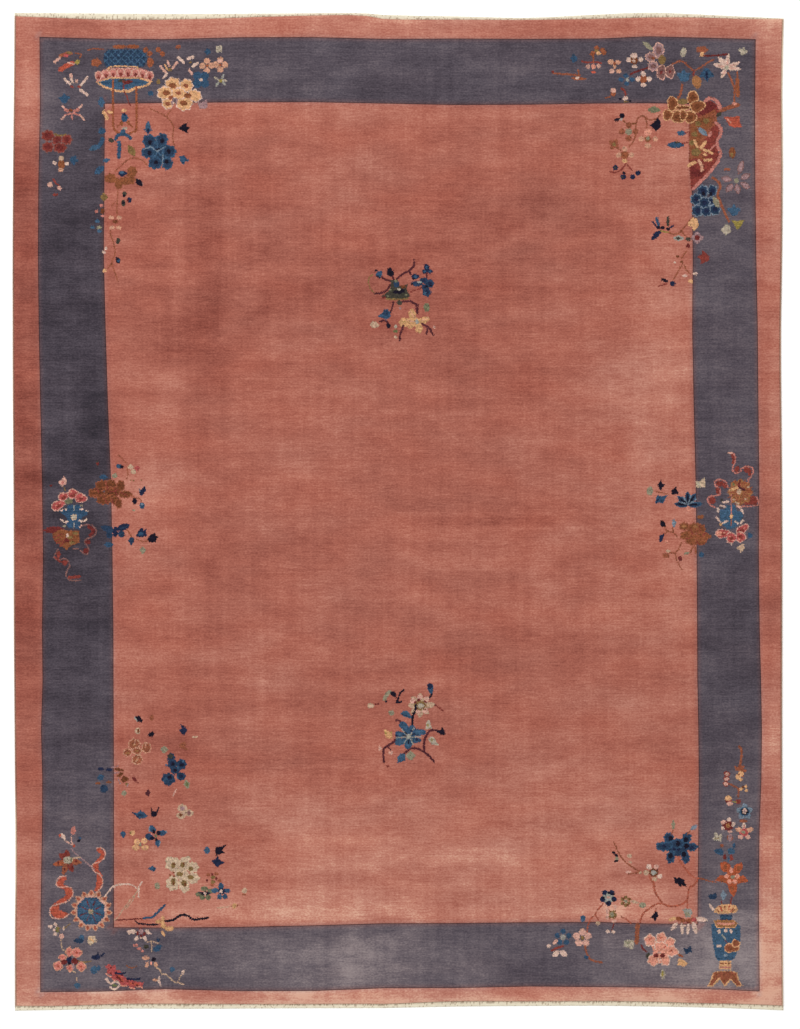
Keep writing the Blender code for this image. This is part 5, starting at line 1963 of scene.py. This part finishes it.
EAST_STAND = Motif(690, 495, (
    Area(TEAL, (54, 15, 62, 16, 64, 14, 68, 16, 70, 24, 78, 26, 80, 32, 73, 44, 68, 49, 62, 51, 56, 51,
    47, 43, 45, 36, 44, 22, 52, 21)), Line(ROSE, 1.7, (62, 0, 62, 28)),
    Line(SIENNA, 1.7, (62, 36, 62, 46)), Oval(62, 32, 5, 7, CREAM),
    Bars(IVORY, 3, (50, 11, 57, 10, 42, 20, 42, 25, 77, 22, 80, 27, 49, 42, 56, 39, 76, 42, 80, 38)),
    Bars(IVORY, 2.4, (46, 16, 54, 18, 40, 34, 45, 40, 68, 40, 72, 43)), Oval(46, 44, 4, 4.5, GOLD),
    Oval(49, 58, 22, 11, CHERRY, rim=BLUSH, waves=3), Oval(44, 58, 9, 8, CORAL),
    Oval(78, 52, 20, 10, CHERRY, -38, rim=BLUSH, waves=3), Spots(CHERRY, 13, 14, (76, 63, 62, 64),
    rim=BLUSH, waves=3), Spots(CRIMSON, 7, 5, (50, 58, 62, 65, 76, 63, 78, 53)),
    Spots(CORAL, 3, 2, (52, 56, 60, 62, 64, 68, 76, 58, 81, 50, 74, 66)),
    Bars(IVORY, 2, (61, 72, 62, 75)), Area(SAND, (69, 80, 75, 75, 81, 73, 82, 80, 76, 86, 74, 83)),
    Oval(90, 61, 7, 8, BLUE), Bars(SIENNA, 2.2, (6, 76, 2, 82, 2, 82, 0, 88, 8, 78, 9, 87)),
))
EAST_SPRAY = Motif(650, 477, (
    Area(OAT, (69, 5, 74, 7, 82, 1, 83, 16, 78, 15, 75, 16, 69, 16)), Bars(PALE, 3, (72, 8, 74, 14)),
    Burst(57, 42, 20, 7, PEACOCK, (184, 219, 268, 304, -4), TEAL), Burst(57, 42, 18, 3, INK, (184, 219,
    268, 304, -4)), Burst(57, 42, 17, 2, SKY, (200, 240, 287, 326)), Oval(74, 40, 9, 4.5, BLUE),
    Area(BLUE, (8, 40, 9, 31, 11, 27, 18, 29, 26, 27, 19, 40, 14, 38)),
    Bars(NAVY, 2.4, (10, 38, 12, 33)), Area(INK, (11, 11, 15, 8, 16, 4, 19, 10, 23, 12, 19, 16,
    16, 21)), Area(INK, (32, 20, 39, 14, 43, 26, 32, 26)), Oval(0, 21, 10, 13, SAGE),
    Line(SIENNA, 1.5, (8, 21, 28, 26)), Line(CORAL, 2.1, (54, 46, 58, 50, 63, 48)),
    Blade(16, 65, 13, 8, 58, INK), Line(SIENNA, 2.1, (22, 75, 26, 81, 34, 82, 34, 76)),
    Line(SIENNA, 1.8, (34, 82, 41, 90)), Line(SIENNA, 1.8, (27, 82, 20, 86)),
    Area(SKY, (33, 64, 37, 64, 40, 68, 36, 76, 33, 72)), Area(NAVY, (14, 90, 17, 86, 22, 85, 17, 99, 14,
    97)), Oval(25, 97, 5, 5, CORAL), Peony(BROWN, (52, 74, 14, 9, 0, 67, 77, 18, 14, 0, 76, 79, 12, 14, 0,
    56, 88, 20, 12, 0, 64, 94, 20, 14, 0, 76, 96, 15, 10, 0, 80, 89, 20, 10, 0), SIENNA),
    Spots(RUST, 9, 3, (76, 82, 82, 90, 70, 88, 60, 84, 66, 99), 25),
    Bars(CRIMSON, 1.5, (60, 76, 64, 86, 74, 74, 76, 84, 84, 84, 75, 90, 54, 93, 63, 90, 70, 96, 74, 102)),
    Spots(TAN, 6, 4.5, (51, 74, 69, 74)), Oval(76, 60, 10, 6, BROWN),
))
EAST_TWIG = Motif(662, 542, (
    Line(SIENNA, 1.8, (29, 1, 26, 9, 20, 16, 12, 16)), Line(SIENNA, 1.8, (20, 16, 22, 27, 30, 42)),
    Area(SIENNA, (0, 17, 10, 17, 11, 23, 3, 24)), Oval(9, 14, 7, 4, SAND),
    Oval(27, 25, 6, 8, MAROON, -20), Oval(37, 17, 8, 3.5, SAGE, -15), Oval(59, 19, 8, 8, BLUE),
))
FAR_STEM = Motif(368, 260, (
    Line(WINE, 3, (44, 28, 48, 24, 54, 20, 62, 16, 66, 12, 69, 8, 69, 0)),
    Bars(WINE, 2.7, (62, 18, 65, 22, 37, 24, 39, 31, 88, 20, 88, 30, 72, 69, 76, 68)),
    Line(WINE, 3, (21, 26, 26, 29, 34, 31)), Area(BLUE, (11, 23, 14, 17, 21, 16, 21, 22, 18, 28)),
    Bars(INK, 1.8, (13, 24, 18, 27)), Area(INK, (28, 22, 29, 13, 33, 11, 38, 16, 39, 22, 34, 25)),
    Line(OLIVE, 1.5, (7, 22, 2, 26, 1, 34, 3, 42, 10, 50)), Line(WINE, 3, (34, 36, 30, 43, 24, 48, 16, 50,
    10, 50)), Area(GREEN, (34, 30, 45, 29, 48, 39, 60, 36, 58, 44, 63, 54, 57, 58, 42, 60, 27, 58, 20, 55,
    30, 48, 34, 42)), Oval(43, 36, 9, 10, PEACOCK), Oval(53, 40, 8, 4.5, UMBER),
    Oval(42, 32, 5, 3.5, MOSS), Line(OLIVE, 2.2, (27, 58, 42, 59, 60, 58)), Oval(44, 48, 15, 6, INK),
    Oval(52, 46, 6, 7, INK), Spots(MOSS, 4.5, 2.5, (34, 45, 57, 52, 30, 54)), Oval(46, 44, 6, 3, PALE),
    Oval(24, 56, 6, 3.5, MAROON), Oval(47, 64, 8, 7, GREEN), Oval(48, 72, 2.5, 4.5, MAUVE),
    Line(CRIMSON, 2.1, (64, 48, 80, 42)), Peony(NAVY, (88, 11, 9, 10, 0, 85, 17, 8, 7, 0, 93, 17, 8, 7, 0,
    71, 25, 12, 9, 0), spot=BLUE, spot_share=0.5, waves=3), Blade(64, 35, 18, 8, 4, PEACOCK),
    Peony(PEACOCK, (84, 31, 14, 9, 0, 93, 35, 12, 12, 0, 88, 48, 13, 14, 0, 86, 40, 12, 8, 0), spot=NAVY,
    spot_share=0.45, waves=5), Spots(INK, 4, 3.5, (12, 16, 94, 38, 88, 40, 68, 28, 66, 36)),
    Oval(77, 33, 7, 3, MIST), Oval(85, 50, 4.5, 5, TEAL), Line(WINE, 2.8, (38, 63, 37, 70, 34, 78)),
    Area(BLUE, (14, 84, 21, 80, 24, 74, 30, 74, 34, 80, 34, 85, 28, 90)), Oval(27, 80, 8, 8, PEACOCK),
    Line(WINE, 3.2, (52, 62, 62, 62, 68, 64, 73, 68, 74, 80)), Oval(88, 71, 9, 13, MOSS),
))
FAR_GOLD_FLOWER = Motif(369, 311, (
    Line(WINE, 2.8, (16, 16, 22, 14, 27, 16, 29, 20)), Oval(29, 22, 6, 8, INK),
    Area(SAND, (1, 21, 6, 15, 10, 16, 16, 22, 10, 26, 4, 25)), Oval(66, 16, 20, 15, GOLD),
    Oval(65, 5, 11, 16, GOLD, -12, waves=5), Oval(53, 17, 16, 14, GOLD, waves=6),
    Oval(82, 14, 18, 10, GOLD, -22, waves=5), Oval(75, 26, 11, 14, GOLD, waves=5),
    Oval(62, 24, 8, 5, GOLD), Spots(CREAM, 4.5, 5, (52, 16, 64, 3, 86, 12)),
    Bars(PEACH, 1.5, (62, 0, 69, 12, 57, 14, 68, 16, 78, 15, 88, 10)), Oval(72, 16, 5, 8, MIST),
    Oval(53, 16, 2.5, 2.5, LIME), Line(WINE, 3.2, (51, 22, 50, 28, 47, 34, 46, 44)),
    Line(WINE, 3.3, (80, 19, 87, 23, 92, 28, 96, 36)), Line(WINE, 2.8, (88, 26, 86, 34)),
    Oval(40, 23, 4.5, 6, PALE), Oval(40, 30, 6, 5, LEAF), Oval(98, 24, 4, 4, BLUSH),
    Oval(40, 39, 4.5, 4.5, SAND),
))
NEAR_STEM = Motif(384, 684, (
    Area(BLUE, (64, 0, 74, 1, 74, 10, 71, 16, 67, 12)), Oval(69, 3, 8, 8, NAVY),
    Line(INK, 2.8, (72, 15, 68, 21)), Burst(54, 32, 17, 9, SAND, around(8), fullness=1.2, start=1.5),
    Spots(BLUSH, 8, 8, (43, 25, 54, 20, 64, 23, 51, 41, 62, 40)), Blade(60, 32, 18, 9, -4, SAND),
    Oval(54, 32, 18, 15, OLIVE, waves=8), Spots(MAROON, 4.5, 4, (47, 27, 52, 24, 62, 26)),
    Oval(55, 33, 10, 8, PALE), Bars(UMBER, 1.5, (48, 36, 62, 38, 60, 30, 64, 34)),
    Oval(77, 32, 4, 3, MAROON), Line(CRIMSON, 2, (80, 34, 85, 37, 89, 41)),
    Line(SAGE, 5.7, (8, 12, 4, 16, 1, 22)), Oval(3, 26, 4, 3.5, INK), Oval(14, 15, 11, 7, INK, 38),
    Line(INK, 2.8, (30, 9, 24, 14, 22, 21, 19, 27, 26, 27)), Bars(INK, 1.8, (16, 18, 20, 22)),
    Area(PALE, (62, 68, 64, 57, 68, 53, 72, 67)), Area(PALE, (66, 84, 69, 79, 74, 78, 78, 86, 83, 92, 72,
    91)), Spots(LIME, 2.5, 5, (66, 62, 72, 84)),
))
NEAR_BLUE_FLOWER = Motif(370, 703, (
    Oval(1, 4, 10, 8, SAND, waves=3), Line(MAROON, 1.8, (8, 2, 14, 1)), Oval(32, 15, 9, 8, SAGE, waves=5),
    Area(TEAL, (46, 16, 50, 12, 57, 12, 62, 20, 63, 24, 50, 20)), Bars(PEACOCK, 1.8, (48, 17, 60, 21)),
    Line(INK, 3.4, (69, 3, 68, 10, 64, 21, 64, 36)), Line(WINE, 3, (39, 26, 44, 27, 48, 30)),
    Oval(58, 50, 20, 20, BLUE), Peony(BLUE, (51, 35, 18, 11, 45, 63, 39, 10, 12, 0, 73, 44, 20, 11, 0, 69,
    56, 14, 9, 0, 57, 62, 12, 14, 0, 44, 47, 14, 10, 0), spot=TEAL, spot_share=0.5, waves=3),
    Oval(44, 58, 16, 12, TEAL, waves=3), Oval(76, 44, 9, 7, TEAL), Bars(MIST, 1.7, (39, 52, 57, 51, 48,
    40, 57, 50, 66, 37, 60, 50, 76, 51, 60, 51, 65, 62, 60, 52, 51, 60, 57, 52)),
    Spots(NAVY, 4.5, 4, (70, 55, 62, 42, 40, 49)), Bars(INK, 1.8, (52, 42, 56, 48, 50, 49, 56, 50, 58, 57,
    58, 61, 67, 46, 63, 48)), Oval(58, 50, 6, 8, MIST), Area(GOLD, (21, 38, 33, 46, 34, 54, 26, 53, 22,
    48)), Spots(LIME, 2.5, 4.5, (23, 45, 32, 45)),
))
NEAR_TWIG = Motif(380, 727, (
    Line(WINE, 3.3, (23, 18, 21, 22, 9, 30, 5, 35, 6, 52)), Bars(WINE, 2, (10, 29, 16, 34)),
    Oval(0, 32, 5, 7, BLUSH), Oval(16, 39, 7, 6, BLUSH), Line(WINE, 3.3, (48, 32, 54, 32, 60, 34, 67, 38,
    74, 44, 81, 52)), Line(WINE, 3.3, (67, 38, 66, 27, 68, 16, 72, 9, 76, 5, 86, 5)),
    Line(WINE, 2.7, (48, 32, 42, 35, 36, 40)), Area(TEAL, (26, 45, 30, 40, 38, 40, 38, 51, 26, 54)),
    Bars(BLUE, 2.4, (27, 52, 36, 50)), Oval(46, 43, 13, 13, SAGE, waves=4),
    Oval(12, 59, 3.5, 3.5, CRIMSON), Area(INK, (83, 6, 90, 4, 94, 0, 99, 12, 91, 12)),
))
ORNAMENTS = {
    "north_west": (
        RED_BUDS, MAROON_PEONY, BAND_TWIGS, CREAM_PEONY, LANTERN, LANTERN_CORDS, BLUE_BUD, BLUE_PEONY,
        PALE_BLOSSOMS, BROWN_LEAVES, HANGING_TWIG,
    ),
    "north_east": (
        PLUM_SPRAY, MAUVE_BLOSSOMS, MAGNOLIA, MAGNOLIA_TRUNK, ROCK, ROCKSIDE_FLOWERS, HANGING_PLUM,
        LOW_PLUM,
    ),
    "south_west": (
        FIELD_TWIGS, NAVY_PEONY, PALE_SPRAY, SCATTERED_LEAVES, GOLD_FLOWERS, IVORY_PEONY, SMALL_FLOWERS,
        FAR_RIBBON, STAR_FLOWER, NEAR_RIBBON, WHEEL, BAND_FLOWERS, BAT, FLY_WHISK, WAVY_STEM,
    ),
    "south_east": (
        BAND_TWIG_FLOWERS, FLAME_FLOWER, CORNER_PEONY, VASE_NECK, VASE, BENT_STEM, CORAL_PEONY,
        FIELD_BLOSSOMS, FAN_FLOWER, NEAR_BLOSSOMS,
    ),
    "west": (
        WEST_FLOWERS, WEST_STAND, WEST_LEAF, WEST_BUTTERFLY, WEST_SPECKS,
    ),
    "east": (
        EAST_RIBBONS, EAST_STAND, EAST_SPRAY, EAST_TWIG,
    ),
    "far_middle": (
        FAR_STEM, FAR_GOLD_FLOWER,
    ),
    "near_middle": (
        NEAR_STEM, NEAR_BLUE_FLOWER, NEAR_TWIG,
    ),
}


@dataclass
class OrnamentPad:
    """The knots of one group of ornaments: one pad that stands a little over the pile about it."""

    name: str
    chart: Chart
    rise: float = 0.00045
    carve: float = 0.0003
    depth: float = 0.0012
    jitter: float = 0.16
    mottle: float = 0.13

    SEED = 11
    LIGHT_RANGE = (0.002, 0.95)
    PICTURE_MARGIN = 0.005

    def covered(self) -> tuple[np.ndarray, int, int]:
        """The dyed part of the chart, and its first row and column."""
        rows, columns = np.nonzero(self.chart.knots)
        top, left = rows.min(), columns.min()
        return self.chart.knots[top : rows.max() + 1, left : columns.max() + 1], top, left

    def build(self, material: bpy.types.Material) -> bpy.types.Object:
        """Builds the pad.

        Args:
            material: The ornaments' wool.

        Returns:
            The piece.
        """
        dyes, top, left = self.covered()
        rows, columns = dyes.shape
        x = chart_x((np.arange(columns + 1) + left) / Chart.KNOTS)
        y = chart_y((np.arange(rows, -1, -1) + top) / Chart.KNOTS)
        x, y = np.meshgrid(x, y)
        z = pile_top(x, y) + self.rise - self.carve * self.seams(dyes)
        bm = new_grid(np.stack([x, y, z], axis=-1))
        layer = bm.faces.layers.int.new("knot")
        upward = dyes[::-1].reshape(-1)
        bare = []
        for number, (face, dye) in enumerate(zip(bm.faces, upward)):
            face[layer] = number
            if dye == 0:
                bare.append(face)
        bmesh.ops.delete(bm, geom=bare, context="FACES")
        add_back(bm, lambda height: height - self.depth)
        piece = new_piece(self.name, bm, [material])
        self.dye_knots(piece, upward, rows, columns)
        return piece

    @staticmethod
    def seams(dyes: np.ndarray) -> np.ndarray:
        """How far each grid vertex is sunk: 1 where neighbouring knots differ in dye."""
        padded = np.pad(dyes, 1)
        corners = [padded[:-1, :-1], padded[:-1, 1:], padded[1:, :-1], padded[1:, 1:]]
        mixed = np.zeros(corners[0].shape, bool)
        for corner in corners[1:]:
            mixed |= corner != corners[0]
        return mixed[::-1].astype(float)

    def dye_knots(self, piece: bpy.types.Object, dyes: np.ndarray, rows: int, columns: int) -> None:
        """Gives every knot its own shade of its dye, and its place on the pad's picture.

        Args:
            piece: The pad.
            dyes: Each knot's dye, from the near left corner.
            rows: How many rows of knots the pad's grid has.
            columns: How many knots a row has.
        """
        mesh = piece.data
        knot = np.zeros(len(mesh.polygons), np.int32)
        mesh.attributes["knot"].data.foreach_get("value", knot)
        random = np.random.default_rng(self.SEED)
        shades = np.array([linear(*dye.value) for dye in Chart.DYES])
        light = 1 + random.normal(0, self.jitter, dyes.size)
        light += random.normal(0, self.jitter / 2, rows).repeat(columns)
        clusters = random.normal(0, self.mottle, (rows // 2 + 1, columns // 2 + 1))
        clusters = clusters.repeat(2, axis=0).repeat(2, axis=1)
        light += clusters[:rows, :columns].reshape(-1)
        tint = 1 + random.normal(0, self.jitter / 4, (dyes.size, 3))
        colours = shades[np.maximum(dyes, 1) - 1] * light[:, None] * tint
        per_face = np.ones((len(knot), 4), np.float32)
        per_face[:, :3] = np.clip(colours[knot], *self.LIGHT_RANGE)
        counts = np.zeros(len(knot), np.int32)
        mesh.polygons.foreach_get("loop_total", counts)
        dye = mesh.color_attributes.new(KnotWool.DYE, "FLOAT_COLOR", "CORNER")
        dye.data.foreach_set("color", per_face.repeat(counts, axis=0).reshape(-1))
        self.unwrap(mesh)

    def unwrap(self, mesh: bpy.types.Mesh) -> None:
        """Lays the pad's picture out as it is seen from above."""
        places = np.zeros(len(mesh.vertices) * 3, np.float32)
        mesh.vertices.foreach_get("co", places)
        flat = places.reshape(-1, 3)[:, :2]
        margin = self.PICTURE_MARGIN
        spread = (flat - flat.min(0)) / np.ptp(flat, axis=0).max() * (1 - 2 * margin) + margin
        corners = np.zeros(len(mesh.loops), np.int32)
        mesh.loops.foreach_get("vertex_index", corners)
        layer = mesh.uv_layers.new(name=PICTURE_LAYER)
        layer.data.foreach_set("uv", spread[corners].reshape(-1))


@dataclass
class EndWeb:
    """A flat-woven web past the pile: ribs of warp with a turned hem, and a ragged pile edge."""

    node: str
    outer_high: bool
    rib: float = 0.0042
    rib_height: float = 0.0005
    thickness: float = 0.0026
    hem: float = 0.0036
    raggedness: float = 0.0004
    unevenness: float = 0.00008

    SEED = 5
    RIB_STEPS = 4
    SHARES = (0.0, 0.3, 0.6, 0.8, 0.93, 1.0)
    PILE_SIDE = 0.45
    CHANCES = (0.34, 0.07)
    SOILS = (0.62, 0.10)

    def edges(self) -> tuple[EdgeLine, EdgeLine]:
        """The web's pile edge and its free edge, read from the frame's strip."""
        foot = foot_points(self.node)
        columns = np.unique(np.round(foot[:, 0], 3))
        beside = [foot[np.abs(foot[:, 0] - column) < NEARBY, 1] for column in columns]
        near = EdgeLine(columns, np.array([rows.min() for rows in beside]))
        far = EdgeLine(columns, np.array([rows.max() for rows in beside]))
        return (near, far) if self.outer_high else (far, near)

    def build(self, material: bpy.types.Material) -> bpy.types.Object:
        """Builds the web.

        Args:
            material: The cotton.

        Returns:
            The piece.
        """
        inner, outer = self.edges()
        first, last = inner.along[0], inner.along[-1]
        ribs = int((last - first) / self.rib)
        x = np.linspace(first, last, ribs * self.RIB_STEPS + 1)
        random = np.random.default_rng(self.SEED)
        shares = np.array(self.SHARES)
        high, hem = self.thickness, self.hem
        rise = np.array([high, high, hem, hem, hem * 0.8, FOOT * 1.5])
        ragged = random.normal(0, self.raggedness, x.size)
        ribbed = self.rib_height * (np.cos(np.arange(x.size) * math.pi / 2) - 1) / 2
        y = inner.at(x)[None] + (outer.at(x) - inner.at(x) + ragged * 0.5)[None] * shares[:, None]
        uneven = random.normal(0, self.unevenness, (shares.size, x.size))
        z = rise[:, None] + ribbed[None] * (rise > FOOT * 2)[:, None] + uneven
        dirt = random.random((shares.size, ribs + 1)).repeat(self.RIB_STEPS, axis=1)[:, : x.size]
        chance = np.where(shares < self.PILE_SIDE, *self.CHANCES)
        soil = np.where(dirt < chance[:, None], *self.SOILS)
        if not self.outer_high:
            y, z, soil = y[::-1], z[::-1], soil[::-1]
        bm = new_grid(np.stack([np.broadcast_to(x, y.shape), y, z], axis=-1))
        set_values(bm, WebCotton.SOIL, soil)
        add_back(bm, lambda height: FOOT / 2)
        piece = new_piece(self.node.replace("end_web", "web"), bm, [material])
        piece.data.shade_smooth()
        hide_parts(self.node)
        return piece


@dataclass
class Selvedge:
    """An edge cord overcast with yarn: a flattened cord whose wraps swell and sink along it.

    Its bleaching is a share, from 0 to 1, at each of several rows of the chart.
    """

    node: str
    bleaching: tuple[tuple[float, float], ...]
    pitch: float = 0.0052
    steps: int = 4
    sides: int = 10
    swell: float = 0.0006

    SLANT = 0.5
    WELD = 1e-6

    def build(self, material: bpy.types.Material) -> bpy.types.Object:
        """Builds the cord.

        Args:
            material: The yarn.

        Returns:
            The piece.
        """
        points = node_points(self.node)
        rows = np.unique(np.round(points[:, 1], 3))
        rings = [points[np.abs(points[:, 1] - row) < NEARBY] for row in rows]
        middle = np.array([(ring[:, 0].min() + ring[:, 0].max()) / 2 for ring in rings])
        half_width = np.median([np.ptp(ring[:, 0]) / 2 for ring in rings])
        height = np.median([ring[:, 2].max() for ring in rings])
        count = int((rows[-1] - rows[0]) / self.pitch) * self.steps
        y = np.linspace(rows[0], rows[-1], count + 1)
        around_cord = np.arange(self.sides) / self.sides * 2 * math.pi
        wound = np.arange(y.size)[:, None] / self.steps * 2 * math.pi
        phase = wound + around_cord[None] * self.SLANT
        size = 1 - (self.swell / half_width) * (1 - np.cos(phase)) / 2
        x = np.interp(y, rows, middle)[:, None] + np.sin(around_cord)[None] * half_width * size
        z = height / 2 - np.cos(around_cord)[None] * (height / 2 - FOOT / 4) * size
        places = np.stack([x, np.broadcast_to(y[:, None], x.shape), z], axis=-1)
        bm = new_grid(np.concatenate([places, places[:, :1]], axis=1))
        bmesh.ops.remove_doubles(bm, verts=bm.verts, dist=self.WELD)
        bmesh.ops.holes_fill(bm, edges=[edge for edge in bm.edges if edge.is_boundary])
        bmesh.ops.recalc_face_normals(bm, faces=bm.faces)
        stretches = np.array(self.bleaching)[::-1]
        along = np.array([vertex.co.y for vertex in bm.verts])
        bleach = np.interp(along, chart_y(stretches[:, 0]), stretches[:, 1])
        set_values(bm, OvercastYarn.BLEACH, bleach)
        piece = new_piece(self.node.replace("selvedge", "overcast_edge"), bm, [material])
        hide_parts(self.node)
        return piece


BLEACHINGS = {
    "selvedge_left": (
        (15, 0.3), (70, 0.25), (180, 0.0), (790, 0.05), (825, 0.8), (880, 0.8), (915, 0.2),
        (1012, 0.3),
    ),
    "selvedge_right": (
        (15, 0.4), (55, 0.85), (140, 0.6), (230, 0.2), (500, 0.1), (800, 0.2), (900, 0.45),
        (1012, 0.5),
    ),
}


@dataclass
class Studio:
    """The pale floor, the soft light and the camera straight above."""

    floor_size: float = 30.0
    lens: float = 85.0
    sensor: float = 36.0
    frame_squares: tuple[float, float] = (800.0, 1029.0)
    world_light: float = 0.66
    world_tint: tuple[float, float, float, float] = (1.0, 0.995, 0.985, 1.0)
    panel_place: tuple[float, float, float] = (-4.0, 5.0, 9.5)
    panel_size: float = 9.0
    panel_power: float = 700.0
    floor_shade: float = 0.97
    floor_clouds: float = 0.004
    floor_glow: float = 0.14

    def build(self) -> None:
        """Makes all of it."""
        self.add_floor()
        self.add_light()
        self.add_camera()
        bpy.context.scene.view_settings.view_transform = "Standard"

    def add_floor(self) -> None:
        """A plain pale floor."""
        bm = bmesh.new()
        bmesh.ops.create_grid(bm, x_segments=1, y_segments=1, size=self.floor_size / 2)
        mesh = bpy.data.meshes.new("floor")
        bm.to_mesh(mesh)
        bm.free()
        floor = bpy.data.objects.new("floor", mesh)
        bpy.context.scene.collection.objects.link(floor)
        tree = Tree("pale_floor")
        place = tree.object_place()
        shade = tree.noise(place, (0.4, 0.4, 0.4), 1.0) * self.floor_clouds + self.floor_shade
        pale = tree.ramp(shade, [(0.0, (0.9, 0.9, 0.9)), (1.0, (1.0, 1.0, 1.0))])
        surface = Surface(sheen=0.0, glow=self.floor_glow)
        finish = tree.finish(tree.brightened(pale, shade), shade * 0.0, Bump(0.0), surface)
        mesh.materials.append(finish)

    def add_light(self) -> None:
        """Even light from all round, and a broad soft panel above the far left."""
        world = bpy.data.worlds.new("soft_room")
        world.use_nodes = True
        background = world.node_tree.nodes["Background"]
        background.inputs[0].default_value = self.world_tint
        background.inputs[1].default_value = self.world_light
        bpy.context.scene.world = world
        panel = bpy.data.lights.new("panel", "AREA")
        panel.shape = "RECTANGLE"
        panel.size = self.panel_size
        panel.size_y = self.panel_size
        panel.energy = self.panel_power
        lamp = bpy.data.objects.new("panel", panel)
        lamp.location = self.panel_place
        lamp.rotation_euler = (-Vector(self.panel_place)).to_track_quat("-Z", "Y").to_euler()
        bpy.context.scene.collection.objects.link(lamp)

    def add_camera(self) -> None:
        """A camera straight above, framing the chart as the photograph does."""
        data = bpy.data.cameras.new("camera")
        data.lens = self.lens
        data.sensor_width = self.sensor
        width, height = self.frame_squares
        half_view = math.atan(self.sensor / 2 / self.lens)
        distance = height * CHART_SQUARE / 2 / math.tan(half_view) + PILE_HEIGHT
        camera = bpy.data.objects.new("camera", data)
        camera.location = (chart_x(width / 2), chart_y(height / 2), distance)
        bpy.context.scene.collection.objects.link(camera)
        bpy.context.scene.camera = camera


def main() -> None:
    """Builds the rug's pieces in order and reports each."""
    logging.basicConfig(level=logging.INFO, format="%(name)s: %(message)s")
    Studio().build()
    outline, border = Outline("rug_pile"), Border()
    wools = [wool.build() for wool in (PINK_WOOL, SLATE_WOOL, CARVED_LINE_SHADE)]
    pile = PileSheet(outline, border).build(wools)
    LOG.info("pile: %d faces", len(pile.data.polygons))
    knot_wool, cotton, yarn = KnotWool().build(), WebCotton().build(), OvercastYarn().build()
    pieces = []
    for name, motifs in ORNAMENTS.items():
        chart = Chart()
        for motif in motifs:
            motif.paint(chart)
        pieces.append(OrnamentPad(name, chart).build(knot_wool))
    pieces += [EndWeb("end_web_far", True).build(cotton), EndWeb("end_web_near", False).build(cotton)]
    pieces += [Selvedge(node, bleaching).build(yarn) for node, bleaching in BLEACHINGS.items()]
    for piece in pieces:
        LOG.info("%s: %d faces", piece.name, len(piece.data.polygons))


if __name__ == "__main__":
    main()
